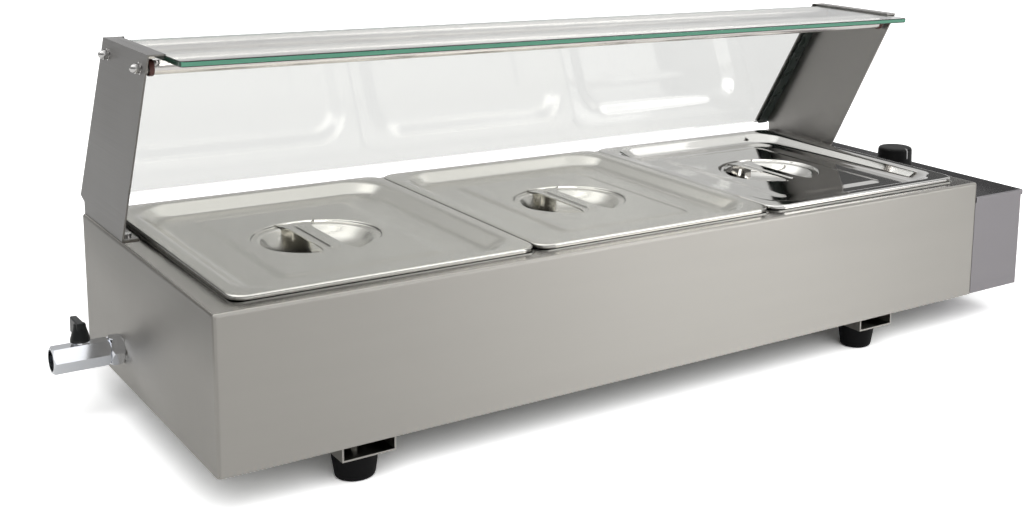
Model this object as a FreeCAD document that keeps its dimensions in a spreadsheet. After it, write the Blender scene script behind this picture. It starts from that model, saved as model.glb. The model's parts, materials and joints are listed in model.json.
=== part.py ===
import FreeCAD, Part
import math
import os
import re
import Sketcher
from FreeCAD import Placement, Rotation, Vector

# Countertop bain-marie: a water bath for three gastronorm 1/2 pans with lift-off lids,
# a control box on its right end, a drain tap on its left end and a glass guard above.
# Lengths are millimetres and angles degrees. The sub-parts are drawn from the casing's
# front left bottom corner: X runs right along the front, Y to the back, Z up.

doc = FreeCAD.newDocument("bain_marie")
sheet = doc.addObject("Spreadsheet::Sheet", "Sizes")
size_names = []
node_names = []
cuts = []

# Sizes that can be set by themselves
DRIVING_SIZES = [
    ("casing_length", 836, "casing, left to right"),
    ("casing_depth", 355, "casing, front to back"),
    ("casing_height", 128, "casing, without rails and feet"),
    ("casing_sheet", 1, "casing sheet"),
    ("casing_fold", 3, "outer radius of the casing's folds"),
    ("casing_lip", 14, "inward lip that the bottom cover screws to"),
    ("cover_sheet", 1.2, "bottom cover sheet"),
    ("cover_gap", 0.4, "gap round the bottom cover"),
    ("cover_screw_in", 9, "cover screws, in from the casing's faces"),
    ("box_length", 80, "control box, left to right"),
    ("box_height", 111, "control box, bottom to top"),
    ("box_sheet", 1, "control box sheet"),
    ("box_fold", 2, "outer radius of the control box's folds"),
    ("box_flange", 14, "control box flange on the casing"),
    ("box_lip", 6, "turned-down lip of the control box lid"),
    ("box_rear_lip", 16, "turned-down lip at the back of the control box lid"),
    ("box_seam", 0.2, "gap round the control box lid"),
    ("box_screw_in", 14, "lid screws, in from the control box's ends"),
    ("gn_depth", 325, "gastronorm 1/2, front to back"),
    ("lid_end", 19.5, "outer lids, in from the casing's ends"),
    ("gn_gap", 1, "gap between two lids"),
    ("rest_lap", 10, "from a pan's outline in to the well's edge"),
    ("well_corner", 6, "corner radius of the well"),
    ("tank_sheet", 1, "tank sheet"),
    ("tank_floor", 15, "tank floor above the casing's bottom edge"),
    ("tank_lip", 9, "tank lip under the casing top"),
    ("bar_width", 22, "pan rest bar"),
    ("bar_height", 18, "pan rest bar"),
    ("bar_sheet", 1.2, "pan rest bar"),
    ("pan_depth", 65, "pan, rim to bottom"),
    ("pan_sheet", 1, "pan sheet"),
    ("pan_rim", 13.5, "pan body in from the gastronorm outline"),
    ("pan_undersize", 0.75, "pan rim in from the gastronorm outline"),
    ("pan_taper", 12, "slope of the pan's walls"),
    ("pan_corner", 24, "corner radius of the pan's body"),
    ("pan_rim_corner", 8, "corner radius of the pan's rim"),
    ("pan_round", 7, "inner radius between a pan's walls and its bottom"),
    ("lid_rim_height", 5, "rolled edge of the lid"),
    ("lid_rim_width", 3.5, "rolled edge of the lid"),
    ("lid_round", 1.8, "outer radius of the rolled edge"),
    ("lid_sheet", 1, "lid sheet"),
    ("lid_corner", 16, "corner radius of the lid"),
    ("lid_border", 11, "flat border of the lid"),
    ("lid_slope", 14, "width of the slope round the lid's recess"),
    ("lid_recess", 9.5, "depth of the lid's recess"),
    ("recess_corner", 30, "corner radius of the lid's recess"),
    ("panel_width", 143, "raised panel in the lid's recess"),
    ("panel_length", 210, "raised panel in the lid's recess"),
    ("panel_corner", 8, "corner radius of the raised panel"),
    ("panel_rise", 1, "raised panel above the recess floor"),
    ("dish_radius", 50, "finger dish in the lid"),
    ("dish_depth", 17, "finger dish below the panel"),
    ("step_width", 6, "step round the dish, on which the strap's ends rest"),
    ("step_depth", 2.4, "step below the panel"),
    ("strap_width", 22, "strap handle across the dish"),
    ("strap_end_width", 34, "strap handle at its welded ends"),
    ("strap_flare", 18, "length over which the strap widens"),
    ("strap_gap", 0.3, "strap's ends to the step's wall"),
    ("strap_sheet", 1.6, "strap handle"),
    ("rib_width", 7, "stiffening rib along the strap"),
    ("rib_rise", 0.8, "height of the rib along the strap"),
    ("lean", 33, "guard's back edge and back glass, forward lean from upright"),
    ("front_lean", 29.4, "guard plate's front edge, forward lean from upright"),
    ("guard_height", 174, "guard above the casing top"),
    ("guard_inset", 2, "guard plate in from the casing's end"),
    ("guard_sheet", 1.5, "guard plate"),
    ("guard_front", 120, "foot of the plate's front edge, from the casing's back"),
    ("guard_back", 2, "foot of the plate's back edge, from the casing's back"),
    ("guard_overhang", 10, "start of the back fold behind the casing"),
    ("fold_start", 15, "height where the back fold begins"),
    ("notch_top", 11, "top of the upright piece of the back edge"),
    ("top_flange", 14, "guard's top flange"),
    ("foot_flange", 14, "guard's foot flange"),
    ("back_flange", 17, "guard's back flange"),
    ("foot_screw_in", 7.5, "foot screws, in from the plate's outer face"),
    ("foot_screw_end", 13, "foot screws, in from the ends of the foot flange"),
    ("channel_sheet", 1.2, "glass channel walls"),
    ("channel_depth", 14, "glass channel, left to right"),
    ("glass", 5, "glass thickness"),
    ("glass_gap", 0.3, "play of a glass in its seat"),
    ("glass_corner", 4, "corner radius of the shelf glass"),
    ("shelf_overhang", 32.5, "shelf glass in front of the top flanges"),
    ("shelf_side_gap", 0.4, "shelf glass to the top flanges' inner edges"),
    ("rod_radius", 6, "cross rod tube"),
    ("rod_wall", 1, "cross rod tube"),
    ("rod_in_front", 21.4, "front cross rod, in from the top flange's end"),
    ("rod_in_back", 13, "rear cross rod, in from the top flange's end"),
    ("rod_cap", 4, "plastic cap at a rod's end"),
    ("rod_cap_radius", 7, "plastic cap at a rod's end"),
    ("stud_radius", 2.5, "M5 stud"),
    ("nut_flats", 8, "M5 nut across flats"),
    ("nut_height", 4, "M5 nut"),
    ("washer_radius", 5, "M5 washer"),
    ("washer_sheet", 0.8, "M5 washer"),
    ("acorn_hex", 3.8, "hexagon of an acorn nut"),
    ("acorn_dome", 3.5, "dome radius of an acorn nut"),
    ("acorn_thread", 5, "thread depth of an acorn nut"),
    ("screw_radius", 2, "M4 screw"),
    ("screw_head", 4, "M4 pan head radius"),
    ("head_height", 2.2, "M4 pan head"),
    ("screw_length", 9, "M4 screw under its head"),
    ("small_nut_flats", 7, "M4 nut across flats"),
    ("small_nut_height", 3.2, "M4 nut"),
    ("thread_fit", 0.05, "radial gap where a thread or weld holds"),
    ("screw_play", 0.25, "radial gap of a clearance hole"),
    ("rail_left", 97, "left foot rail, in from the casing's left end"),
    ("rail_right", 171, "right foot rail, in from the casing's right end"),
    ("rail_width", 46, "foot rail"),
    ("rail_height", 12, "foot rail"),
    ("rail_sheet", 1.5, "foot rail"),
    ("rail_setback", 1, "foot rail behind the casing's face"),
    ("foot_height", 26, "rubber foot"),
    ("foot_top_radius", 19.8, "rubber foot at the rail"),
    ("foot_sole_radius", 16.5, "rubber foot at the counter"),
    ("foot_round", 3, "rounded edge of the sole"),
    ("foot_inset", 30, "foot in from the casing's face"),
    ("foot_bond", 12, "stud moulded into the foot"),
    ("foot_stud", 7, "stud above the rail's web"),
    ("drain_back", 243, "drain from the casing's front"),
    ("drain_height", 30.5, "drain above the casing's bottom edge"),
    ("pipe_radius", 10.4, "G 1/2 thread of the tap"),
    ("pipe_socket_wall", 2.6, "wall of the tank's drain socket"),
    ("pipe_socket_bore", 7, "bore of the tank's drain socket"),
    ("pipe_socket_depth", 16, "thread of the tank's drain socket"),
    ("pipe_end_gap", 3, "tap thread to the end of the socket's thread"),
    ("lock_nut_flats", 27, "drain lock nut across flats"),
    ("lock_nut_height", 11, "drain lock nut"),
    ("tap_gap", 0.3, "tap body to lock nut"),
    ("tap_length", 46, "tap body"),
    ("tap_flats", 22, "tap body across flats"),
    ("tap_bore", 4.8, "bore of the tap"),
    ("outlet_radius", 9.32, "G 1/2 thread of the outlet"),
    ("outlet_depth", 11, "thread of the outlet"),
    ("stem_along", 22.5, "tap stem from the lock nut's outer face"),
    ("ball_radius", 8.2, "tap ball"),
    ("ball_gap", 0.3, "ball to body"),
    ("ball_seat_length", 3.4, "ball seat ring"),
    ("running_fit", 0.05, "radial gap where a part turns in another"),
    ("stem_radius", 3.4, "tap stem"),
    ("stem_rise", 12.5, "tap stem above the tap body"),
    ("tongue_width", 4, "stem tongue in the ball's slot"),
    ("tongue_depth", 2.4, "stem tongue in the ball's slot"),
    ("boss_radius", 5.8, "boss under the lever"),
    ("boss_height", 1.8, "boss under the lever"),
    ("lever_gap", 0.3, "lever above the boss"),
    ("hub_radius", 8, "lever hub at its foot"),
    ("hub_top_radius", 6.5, "lever hub at its top"),
    ("hub_height", 12, "lever hub"),
    ("blade_width", 7, "lever blade"),
    ("blade_reach", 21, "lever blade from the stem"),
    ("blade_tail", 6.5, "lever blade behind the stem"),
    ("blade_top", 19, "top of the lever blade above the tap body"),
    ("blade_under", 6.5, "underside of the lever blade above the tap body"),
    ("blade_tip", 6, "height of the lever blade's tip"),
    ("blade_round", 0.9, "rounded corners of the lever blade"),
    ("lever_screw_radius", 1.5, "lever screw"),
    ("lever_head_radius", 2.7, "lever screw head"),
    ("lever_head_height", 2, "lever screw head"),
    ("lever_screw_length", 10, "lever screw under its head"),
    ("lever_thread", 7, "lever screw's hole in the stem"),
    ("element_spread", 55, "element legs either side of the middle"),
    ("element_height", 13, "element above the tank floor"),
    ("element_radius", 4.25, "element tube"),
    ("element_end", 40, "element's bend from the tank's left wall"),
    ("cold_end", 9, "element end inside the control box"),
    ("terminal_radius", 1.6, "element terminal pin"),
    ("terminal_length", 12, "element terminal pin"),
    ("ferrule_radius", 7, "element fitting in the tank wall"),
    ("ferrule_head", 10.5, "element fitting's head radius"),
    ("ferrule_flats", 20, "element fitting's nut across flats"),
    ("ferrule_clear", 2, "room round an element fitting in the casing wall"),
    ("fitting_head", 5, "head of a fitting in the tank wall"),
    ("fitting_gasket", 2, "gasket of a fitting in the tank wall"),
    ("fitting_tail", 13, "fitting behind the tank wall"),
    ("fitting_nut", 6, "nut of a fitting in the tank wall"),
    ("saddle_in", 90, "saddles, in from the ends of the element's legs"),
    ("saddle_length", 12, "saddle that carries the element"),
    ("saddle_width", 14, "saddle that carries the element"),
    ("bulb_radius", 3.25, "thermostat bulb"),
    ("bulb_length", 90, "thermostat bulb"),
    ("bulb_height", 22, "thermostat bulb above the tank floor"),
    ("bulb_fitting_radius", 5, "bulb fitting in the tank wall"),
    ("bulb_fitting_head", 8.5, "bulb fitting's head radius"),
    ("bulb_fitting_flats", 15, "bulb fitting's nut across flats"),
    ("capillary_radius", 1, "capillary tube"),
    ("capillary_bend", 14, "bend radius of the capillary tube"),
    ("knob_forward", 3, "thermostat in front of the casing's middle"),
    ("knob_along", 48, "thermostat from the casing's right end"),
    ("thermostat_width", 44, "thermostat body"),
    ("thermostat_depth", 36, "thermostat body"),
    ("thermostat_height", 30, "thermostat body"),
    ("spindle_radius", 3, "thermostat spindle"),
    ("spindle_sink", 8, "spindle inside the thermostat"),
    ("spindle_end_gap", 0.3, "play at the spindle's ends"),
    ("spindle_hole", 5, "hole for the spindle in the box lid"),
    ("knob_gap", 0.5, "knob above the box lid"),
    ("knob_skirt_radius", 21.5, "knob skirt"),
    ("knob_skirt_height", 3, "knob skirt"),
    ("knob_radius", 20.4, "knob grip at its foot"),
    ("knob_top_radius", 19.6, "knob grip at its top"),
    ("knob_height", 22, "knob"),
    ("knob_round", 2.5, "rounded top edge of the knob"),
    ("knob_bore", 15, "spindle's depth in the knob"),
    ("block_length", 30, "terminal block"),
    ("block_depth", 46, "terminal block"),
    ("block_height", 18, "terminal block"),
    ("block_back", 262, "terminal block from the casing's front"),
    ("limiter_radius", 8, "overheat limiter disc"),
    ("limiter_height", 8, "overheat limiter disc"),
    ("limiter_along", 600, "overheat limiter from the casing's left end"),
    ("gland_height", 34, "cord gland above the casing's bottom edge"),
    ("gland_thread", 8, "cord gland thread radius"),
    ("gland_bore", 4.2, "cord gland bore radius"),
    ("gland_tail", 11, "cord gland inside the box"),
    ("gland_flats", 20, "cord gland across flats"),
    ("gland_hex", 5, "cord gland hexagon"),
    ("gland_cap", 14, "cord gland clamping cap"),
    ("gland_cap_radius", 9, "cord gland clamping cap"),
    ("gland_nut_flats", 22, "cord gland nut across flats"),
    ("gland_nut_height", 5, "cord gland nut"),
]

# Sizes that follow from the driving ones
DERIVED_SIZES = [
    ("gn_width", "(casing_length - 2 * lid_end - 2 * gn_gap) / 3"),
    ("gn_pitch", "gn_width + gn_gap"),
    ("middle_across", "casing_length / 2"),
    ("middle_deep", "casing_depth / 2"),
    ("knob_back", "middle_deep - knob_forward"),
    ("well_left", "middle_across - gn_pitch - gn_width / 2 + rest_lap"),
    ("well_right", "middle_across + gn_pitch + gn_width / 2 - rest_lap"),
    ("well_front", "middle_deep - gn_depth / 2 + rest_lap"),
    ("well_back", "middle_deep + gn_depth / 2 - rest_lap"),
    ("casing_top_under", "casing_height - casing_sheet"),
    ("box_right", "casing_length + box_length"),
    ("shell_inset", "box_sheet + box_seam"),
    ("box_lid_under", "box_height - box_sheet"),
    ("knob_x", "casing_length + knob_along"),
    ("slope", "tan(lean)"),
    ("front_slope", "tan(front_lean)"),
    ("slant", "1 / cos(lean)"),
    ("guard_top", "casing_height + guard_height"),
    ("plate_foot_front", "casing_depth - guard_front"),
    ("plate_foot_back", "casing_depth - guard_back"),
    ("plate_back_line", "casing_depth + guard_overhang"),
    ("plate_fold", "casing_height + fold_start"),
    ("plate_top_front", "plate_foot_front - guard_height * front_slope"),
    ("plate_top_back", "plate_back_line - (guard_height - fold_start) * slope"),
    ("flange_under", "guard_top - guard_sheet"),
    ("channel_far", "guard_sheet + 2 * channel_sheet + 2 * glass_gap + glass"),
    ("channel_rise", "(flange_under - glass_gap - plate_fold) * slant"),
    ("shelf_top", "flange_under - glass_gap"),
    ("shelf_under", "shelf_top - glass"),
    ("shelf_front", "plate_top_front - shelf_overhang"),
    ("shelf_back", "plate_top_back - channel_far * slant - glass_gap"),
    ("rod_level", "shelf_under - glass_gap - rod_radius"),
    ("front_rod_y", "plate_top_front + rod_in_front"),
    ("rear_rod_y", "plate_top_back - rod_in_back"),
    ("plate_inner", "guard_inset + guard_sheet"),
    ("tap_start", "lock_nut_height + tap_gap"),
    ("tap_end", "tap_start + tap_length"),
    ("stem_x", "lock_nut_height + stem_along"),
    ("tap_top", "drain_height + tap_flats / 2"),
    ("element_level", "tank_floor + element_height"),
    ("bulb_level", "tank_floor + bulb_height"),
    ("gland_end", "casing_depth - shell_inset + gland_hex + gland_cap"),
    ("lid_foot", "casing_height + pan_sheet"),
    ("lid_top", "lid_foot + lid_rim_height"),
    ("recess_floor", "lid_top - lid_recess"),
    ("panel_top", "recess_floor + panel_rise"),
    ("step_floor", "panel_top - step_depth"),
    ("step_radius", "dish_radius + step_width"),
    ("bowl_depth", "dish_depth - step_depth"),
    ("bowl_sphere", "(dish_radius * dish_radius + bowl_depth * bowl_depth) / (2 * bowl_depth)"),
    ("bowl_centre", "step_floor - bowl_depth + bowl_sphere"),
    ("left_x", "-(box_right - tap_end) / 2"),
    ("front_y", "-gland_end / 2"),
    ("base_z", "foot_height + rail_height"),
]

# Each way that a round or six-sided solid can point: its turn, its axis and its sign
WAYS = {
    "up": (Rotation(), "z", "+"),
    "down": (Rotation(Vector(1, 0, 0), 180), "z", "-"),
    "right": (Rotation(Vector(0, 1, 0), 90), "x", "+"),
    "left": (Rotation(Vector(0, 1, 0), -90), "x", "-"),
    "back": (Rotation(Vector(1, 0, 0), -90), "y", "+"),
    "front": (Rotation(Vector(1, 0, 0), 90), "y", "-"),
}
OPPOSITE = {"up": "down", "down": "up", "right": "left", "left": "right",
            "back": "front", "front": "back"}
SIXTH = Rotation(Vector(0, 0, 1), 30)
CORNER = ("0", "0", "0")


def formula(text):
    """The expression with each size's name written as its cell."""
    def cell(match):
        word = match.group(0)
        return "Sizes." + word if word in size_names else word
    return re.sub(r"[a-z_][a-z0-9_]*", cell, text)


def add_size(alias, content, meaning):
    row = len(size_names) + 1
    sheet.set("A%d" % row, alias)
    sheet.set("B%d" % row, content)
    sheet.set("C%d" % row, meaning)
    sheet.setAlias("B%d" % row, alias)
    size_names.append(alias)


def fill_sheet():
    for alias, number, meaning in DRIVING_SIZES:
        add_size(alias, str(number), meaning)
    for alias, text in DERIVED_SIZES:
        add_size(alias, "=" + text, "")
    doc.recompute()


def value(text):
    return float(sheet.evalExpression(formula(text)))


def bind(item, prop, text):
    item.setExpression(prop, formula(text))


def plus(*terms):
    return " + ".join("(" + term + ")" for term in terms)


def less(first, second):
    return "(%s) - (%s)" % (first, second)


def shifted(at, way, distance):
    turn, letter, sign = WAYS[way]
    moved = dict(zip("xyz", at))
    moved[letter] = "(%s) %s (%s)" % (moved[letter], sign, distance)
    return tuple(moved.values())


def place(item, at):
    for axis, text in zip("xyz", at):
        bind(item, ".Placement.Base." + axis, text)


def make_node(item, label, at=CORNER):
    """Names a finished sub-part and carries it from the casing's corner to the origin."""
    item.Label = label
    x, y, z = at
    place(item, (plus("left_x", x), plus("front_y", y), plus("base_z", z)))
    node_names.append(item.Name)


# Outlines for sketches


def constrain(sketch, kind, geometry, point, text):
    index = sketch.addConstraint(Sketcher.Constraint(kind, -1, 1, geometry, point, value(text)))
    bind(sketch, "Constraints[%d]" % index, text)


def polygon(*corners):
    """A closed outline through corners given as pairs of expressions."""
    def draw(sketch):
        first = sketch.GeometryCount
        count = len(corners)
        points = [Vector(value(x), value(y), 0) for x, y in corners]
        for index in range(count):
            line = Part.LineSegment(points[index], points[(index + 1) % count])
            sketch.addGeometry(line, False)
        for index in range(count):
            ends = (first + index, 2, first + (index + 1) % count, 1)
            sketch.addConstraint(Sketcher.Constraint("Coincident", *ends))
        for index, (x, y) in enumerate(corners):
            constrain(sketch, "DistanceX", first + index, 1, x)
            constrain(sketch, "DistanceY", first + index, 1, y)
    return draw


def rectangle(x0, y0, x1, y1):
    return polygon((x0, y0), (x1, y0), (x1, y1), (x0, y1))


def circle(x, y, radius):
    def draw(sketch):
        line = Part.Circle(Vector(value(x), value(y), 0), Vector(0, 0, 1), value(radius))
        index = sketch.addGeometry(line, False)
        constrain(sketch, "DistanceX", index, 3, x)
        constrain(sketch, "DistanceY", index, 3, y)
        size = sketch.addConstraint(Sketcher.Constraint("Radius", index, value(radius)))
        bind(sketch, "Constraints[%d]" % size, radius)
    return draw


def rounded(x0, y0, x1, y1, radius):
    """A rectangle with round corners, drawn anticlockwise from its lower side."""
    def draw(sketch):
        left, front, right, back, r = (value(text) for text in (x0, y0, x1, y1, radius))
        first = sketch.GeometryCount
        sides = [
            (Vector(left + r, front, 0), Vector(right - r, front, 0)),
            (Vector(right, front + r, 0), Vector(right, back - r, 0)),
            (Vector(right - r, back, 0), Vector(left + r, back, 0)),
            (Vector(left, back - r, 0), Vector(left, front + r, 0)),
        ]
        for start, end in sides:
            sketch.addGeometry(Part.LineSegment(start, end), False)
        centres = [
            (right - r, front + r, -90),
            (right - r, back - r, 0),
            (left + r, back - r, 90),
            (left + r, front + r, 180),
        ]
        for x, y, turn in centres:
            whole = Part.Circle(Vector(x, y, 0), Vector(0, 0, 1), r)
            arc = Part.ArcOfCircle(whole, math.radians(turn), math.radians(turn + 90))
            sketch.addGeometry(arc, False)
        for side in range(4):
            arc = first + 4 + side
            following = first + (side + 1) % 4
            sketch.addConstraint(Sketcher.Constraint("Tangent", first + side, 2, arc, 1))
            sketch.addConstraint(Sketcher.Constraint("Tangent", arc, 2, following, 1))
        for side, direction in enumerate(("Horizontal", "Vertical", "Horizontal", "Vertical")):
            sketch.addConstraint(Sketcher.Constraint(direction, first + side))
        for side in range(1, 4):
            sketch.addConstraint(Sketcher.Constraint("Equal", first + 4, first + 4 + side))
        size = sketch.addConstraint(Sketcher.Constraint("Radius", first + 4, r))
        bind(sketch, "Constraints[%d]" % size, radius)
        constrain(sketch, "DistanceY", first, 1, y0)
        constrain(sketch, "DistanceX", first + 1, 1, x1)
        constrain(sketch, "DistanceY", first + 2, 1, y1)
        constrain(sketch, "DistanceX", first + 3, 1, x0)
    return draw


# Features of a body. A start is the sketch plane's place on its own axis, and a length
# runs from there in the positive direction, or down from there for a tapered pad.


def new_body(name):
    return doc.addObject("PartDesign::Body", name)


def new_sketch(body, plane, start, outlines):
    role = plane + "_Plane"
    support = next(item for item in body.Origin.OriginFeatures if item.Role == role)
    sketch = body.newObject("Sketcher::SketchObject", body.Name + "_sketch")
    sketch.AttachmentSupport = [(support, "")]
    sketch.MapMode = "FlatFace"
    offset = "-(" + start + ")" if plane == "XZ" else start
    bind(sketch, ".AttachmentOffset.Base.z", offset)
    for draw in outlines:
        draw(sketch)
    return sketch


def pad(body, plane, start, length, *outlines):
    feature = body.newObject("PartDesign::Pad", body.Name + "_pad")
    feature.Profile = new_sketch(body, plane, start, outlines)
    feature.Reversed = plane == "XZ"
    bind(feature, "Length", length)
    body.Tip = feature
    doc.recompute()


def pocket(body, plane, start, length, *outlines):
    base = body.Tip
    feature = body.newObject("PartDesign::Pocket", body.Name + "_pocket")
    feature.Profile = new_sketch(body, plane, start, outlines)
    feature.Reversed = plane != "XZ"
    bind(feature, "Length", length)
    body.Tip = feature
    doc.recompute()
    cuts.append((base, feature))


def sunken(name, top, depth, narrowing, outline):
    """A solid that narrows going down from its outline."""
    body = new_body(name)
    feature = body.newObject("PartDesign::Pad", name + "_pad")
    feature.Profile = new_sketch(body, "XY", top, [outline])
    feature.Reversed = True
    bind(feature, "Length", depth)
    bind(feature, "TaperAngle", "-(" + narrowing + ")")
    body.Tip = feature
    doc.recompute()
    return body


def turned(body, outline, removes=False):
    """A profile in the XZ plane turned round the body's own Z axis."""
    base = body.Tip
    kind = "Groove" if removes else "Revolution"
    feature = body.newObject("PartDesign::" + kind, body.Name + "_turned")
    sketch = new_sketch(body, "XZ", "0", [outline])
    feature.Profile = sketch
    feature.ReferenceAxis = (sketch, ["V_Axis"])
    feature.Angle = 360
    body.Tip = feature
    doc.recompute()
    if removes:
        cuts.append((base, feature))


def soften(body, radius, wanted):
    """A fillet on the edges of the tip that a test picks."""
    base = body.Tip
    edges = ["Edge%d" % (index + 1) for index, edge in enumerate(base.Shape.Edges) if wanted(edge)]
    feature = body.newObject("PartDesign::Fillet", body.Name + "_fillet")
    feature.Base = (base, edges)
    bind(feature, "Radius", radius)
    body.Tip = feature
    doc.recompute()


def is_upright(edge):
    box = edge.BoundBox
    return box.XLength + box.YLength < 0.001 and box.ZLength > 0.001


def level_at(text):
    height = value(text)
    def test(edge):
        return abs(edge.BoundBox.ZMin - height) + abs(edge.BoundBox.ZMax - height) < 0.001
    return test


# Plain solids and how they join


def solid(kind, name, at, turn, **sizes):
    item = doc.addObject("Part::" + kind, name)
    for prop, text in sizes.items():
        bind(item, prop, text)
    item.Placement = Placement(Vector(), turn)
    place(item, at)
    return item


def rod(name, at, way, radius, height):
    return solid("Cylinder", name, at, WAYS[way][0], Radius=radius, Height=height)


def cone(name, at, way, radius, end_radius, height):
    return solid("Cone", name, at, WAYS[way][0], Radius1=radius, Radius2=end_radius, Height=height)


def sphere(name, at, radius):
    return solid("Sphere", name, at, Rotation(), Radius=radius)


def block(name, at, length, width, height):
    return solid("Box", name, at, Rotation(), Length=length, Width=width, Height=height)


def bend(name, at, turn, radius, tube, angle):
    item = solid("Torus", name, at, turn, Radius1=radius, Radius2=tube)
    item.Angle3 = angle
    return item


def fuse(name, *items):
    item = doc.addObject("Part::MultiFuse", name)
    item.Shapes = list(items)
    item.Refine = True
    return item


def common(name, *items):
    item = doc.addObject("Part::MultiCommon", name)
    item.Shapes = list(items)
    return item


def cut(name, base, *tools):
    item = doc.addObject("Part::Cut", name)
    item.Base = base
    item.Tool = tools[0] if len(tools) == 1 else fuse(name + "_tools", *tools)
    doc.recompute()
    cuts.append((base, item))
    return item


def group(name, items):
    item = doc.addObject("Part::Compound", name)
    item.Links = list(items)
    return item


def hexagon(name, at, way, flats, height):
    """A six-sided bar with a flat on top and its end corners turned off."""
    radius = "(" + flats + ") / (2 * cos(30))"
    chamfer = less(radius, "(" + flats + ") / 2")
    turn = WAYS[way][0].multiply(SIXTH)
    bar = solid("Prism", name + "_bar", at, turn, Circumradius=radius, Height=height)
    bar.Polygon = 6
    narrow = "(" + flats + ") / 2"
    near = cone(name + "_near", at, way, narrow, radius, chamfer)
    middle = rod(name + "_middle", shifted(at, way, chamfer), way, radius,
                 less(height, "2 * (" + chamfer + ")"))
    far = cone(name + "_far", shifted(at, way, less(height, chamfer)), way, radius, narrow, chamfer)
    return common(name, bar, fuse(name + "_barrel", near, middle, far))


def ring(name, at, way, radius, bore, height):
    """A washer or a tube: the bore goes right through."""
    body = rod(name + "_outside", at, way, radius, height)
    hole = rod(name + "_bore", at, way, bore, height)
    return cut(name, body, hole)


def nut(name, at, way, flats, bore, height):
    body = hexagon(name + "_hexagon", at, way, flats, height)
    hole = rod(name + "_bore", at, way, bore, height)
    return cut(name, body, hole)


def screw(name, at, way):
    """An M4 pan head screw whose head rests at a point and whose shank goes a given way."""
    head = rod(name + "_head", at, OPPOSITE[way], "screw_head", "head_height")
    shank = rod(name + "_shank", at, way, "screw_radius", "screw_length")
    return fuse(name, head, shank)


# Places that several sub-parts share


def cover_screw_places():
    across = ("cover_screw_in", "middle_across", less("casing_length", "cover_screw_in"))
    deep = ("cover_screw_in", less("casing_depth", "cover_screw_in"))
    return [(x, y) for x in across for y in deep]


def guard_screw_places():
    side = plus("guard_inset", "foot_screw_in")
    across = (side, less("casing_length", side))
    deep = (plus("plate_foot_front", "foot_screw_end"), less("plate_foot_back", "foot_screw_end"))
    return [(x, y) for x in across for y in deep]


def box_screw_places():
    near = plus("shell_inset", "box_sheet", "box_flange / 2")
    deep = (near, less("casing_depth", near))
    return [(y, z) for y in deep for z in ("box_height / 4", "box_height * 3 / 4")]


def lid_screw_places():
    return [plus("casing_length", "box_screw_in"), less("box_right", "box_screw_in")]


def leg_places():
    return [less("middle_deep", "element_spread"), plus("middle_deep", "element_spread")]


def pan_centres():
    return [less("middle_across", "gn_pitch"), "middle_across", plus("middle_across", "gn_pitch")]


def rail_starts():
    return ["rail_left", less("casing_length", "rail_right")]


def foot_places():
    across = [plus(start, "rail_width / 2") for start in rail_starts()]
    deep = ("foot_inset", less("casing_depth", "foot_inset"))
    return [(x, y) for y in deep for x in across]


def rod_rows():
    return ["front_rod_y", "rear_rod_y"]


# Casing, bottom cover, tank and rest bars


def folded_block(name, inset, height, radius):
    """The casing's block drawn in by an inset, its upright and top edges rounded."""
    body = new_body(name)
    pad(body, "XY", "0", height, rectangle(inset, inset, less("casing_length", inset),
                                           less("casing_depth", inset)))
    on_top = level_at(height)
    soften(body, radius, lambda edge: is_upright(edge) or on_top(edge))
    return body


def well_outline(grow="0"):
    return rounded(less("well_left", grow), less("well_front", grow), plus("well_right", grow),
                   plus("well_back", grow), plus("well_corner", grow))


def build_casing():
    outside = folded_block("casing_outside", "0", "casing_height", "casing_fold")
    inside = folded_block("casing_inside", "casing_sheet", "casing_top_under",
                          less("casing_fold", "casing_sheet"))
    walls = cut("casing_walls", outside, inside)
    lips = new_body("casing_lips")
    root = "casing_sheet / 2"
    edge = plus("casing_sheet", "casing_lip")
    pad(lips, "XY", "cover_sheet", "casing_sheet",
        rectangle(root, root, less("casing_length", root), less("casing_depth", root)),
        rectangle(edge, edge, less("casing_length", edge), less("casing_depth", edge)))
    well = new_body("casing_well")
    pad(well, "XY", "casing_top_under", "casing_sheet", well_outline())
    tools = [well]
    thread = plus("screw_radius", "thread_fit")
    clearance = plus("screw_radius", "screw_play")
    for x, y in cover_screw_places():
        tools.append(rod("cover_thread", (x, y, "cover_sheet"), "up", thread, "casing_sheet"))
    for x, y in guard_screw_places():
        tools.append(rod("guard_hole", (x, y, "casing_top_under"), "up", clearance, "casing_sheet"))
    tools.append(rod("drain_hole", ("0", "drain_back", "drain_height"), "right",
                     plus("pipe_radius", "screw_play"), "casing_sheet"))
    right_wall = less("casing_length", "casing_sheet")
    for y in leg_places():
        tools.append(rod("element_hole", (right_wall, y, "element_level"), "right",
                         plus("ferrule_radius", "ferrule_clear"), "casing_sheet"))
    tools.append(rod("capillary_hole", (right_wall, "knob_back", "bulb_level"), "right",
                     "bulb_fitting_radius", "casing_sheet"))
    for y, z in box_screw_places():
        tools.append(rod("box_thread", (right_wall, y, z), "right", thread, "casing_sheet"))
    make_node(cut("casing", fuse("casing_and_lips", walls, lips), *tools), "outer_casing")


def build_bottom_cover():
    body = new_body("cover")
    edge = plus("casing_sheet", "cover_gap")
    pad(body, "XY", "0", "cover_sheet",
        rounded(edge, edge, less("casing_length", edge), less("casing_depth", edge),
                less("casing_fold", "casing_sheet")))
    pocket(body, "XY", "0", "cover_sheet",
           *[circle(x, y, plus("screw_radius", "screw_play")) for x, y in cover_screw_places()])
    make_node(body, "bottom_cover")
    screws = [screw("cover_screw", (x, y, "0"), "up") for x, y in cover_screw_places()]
    make_node(group("cover_screws", screws), "bottom_cover_screws")


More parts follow.
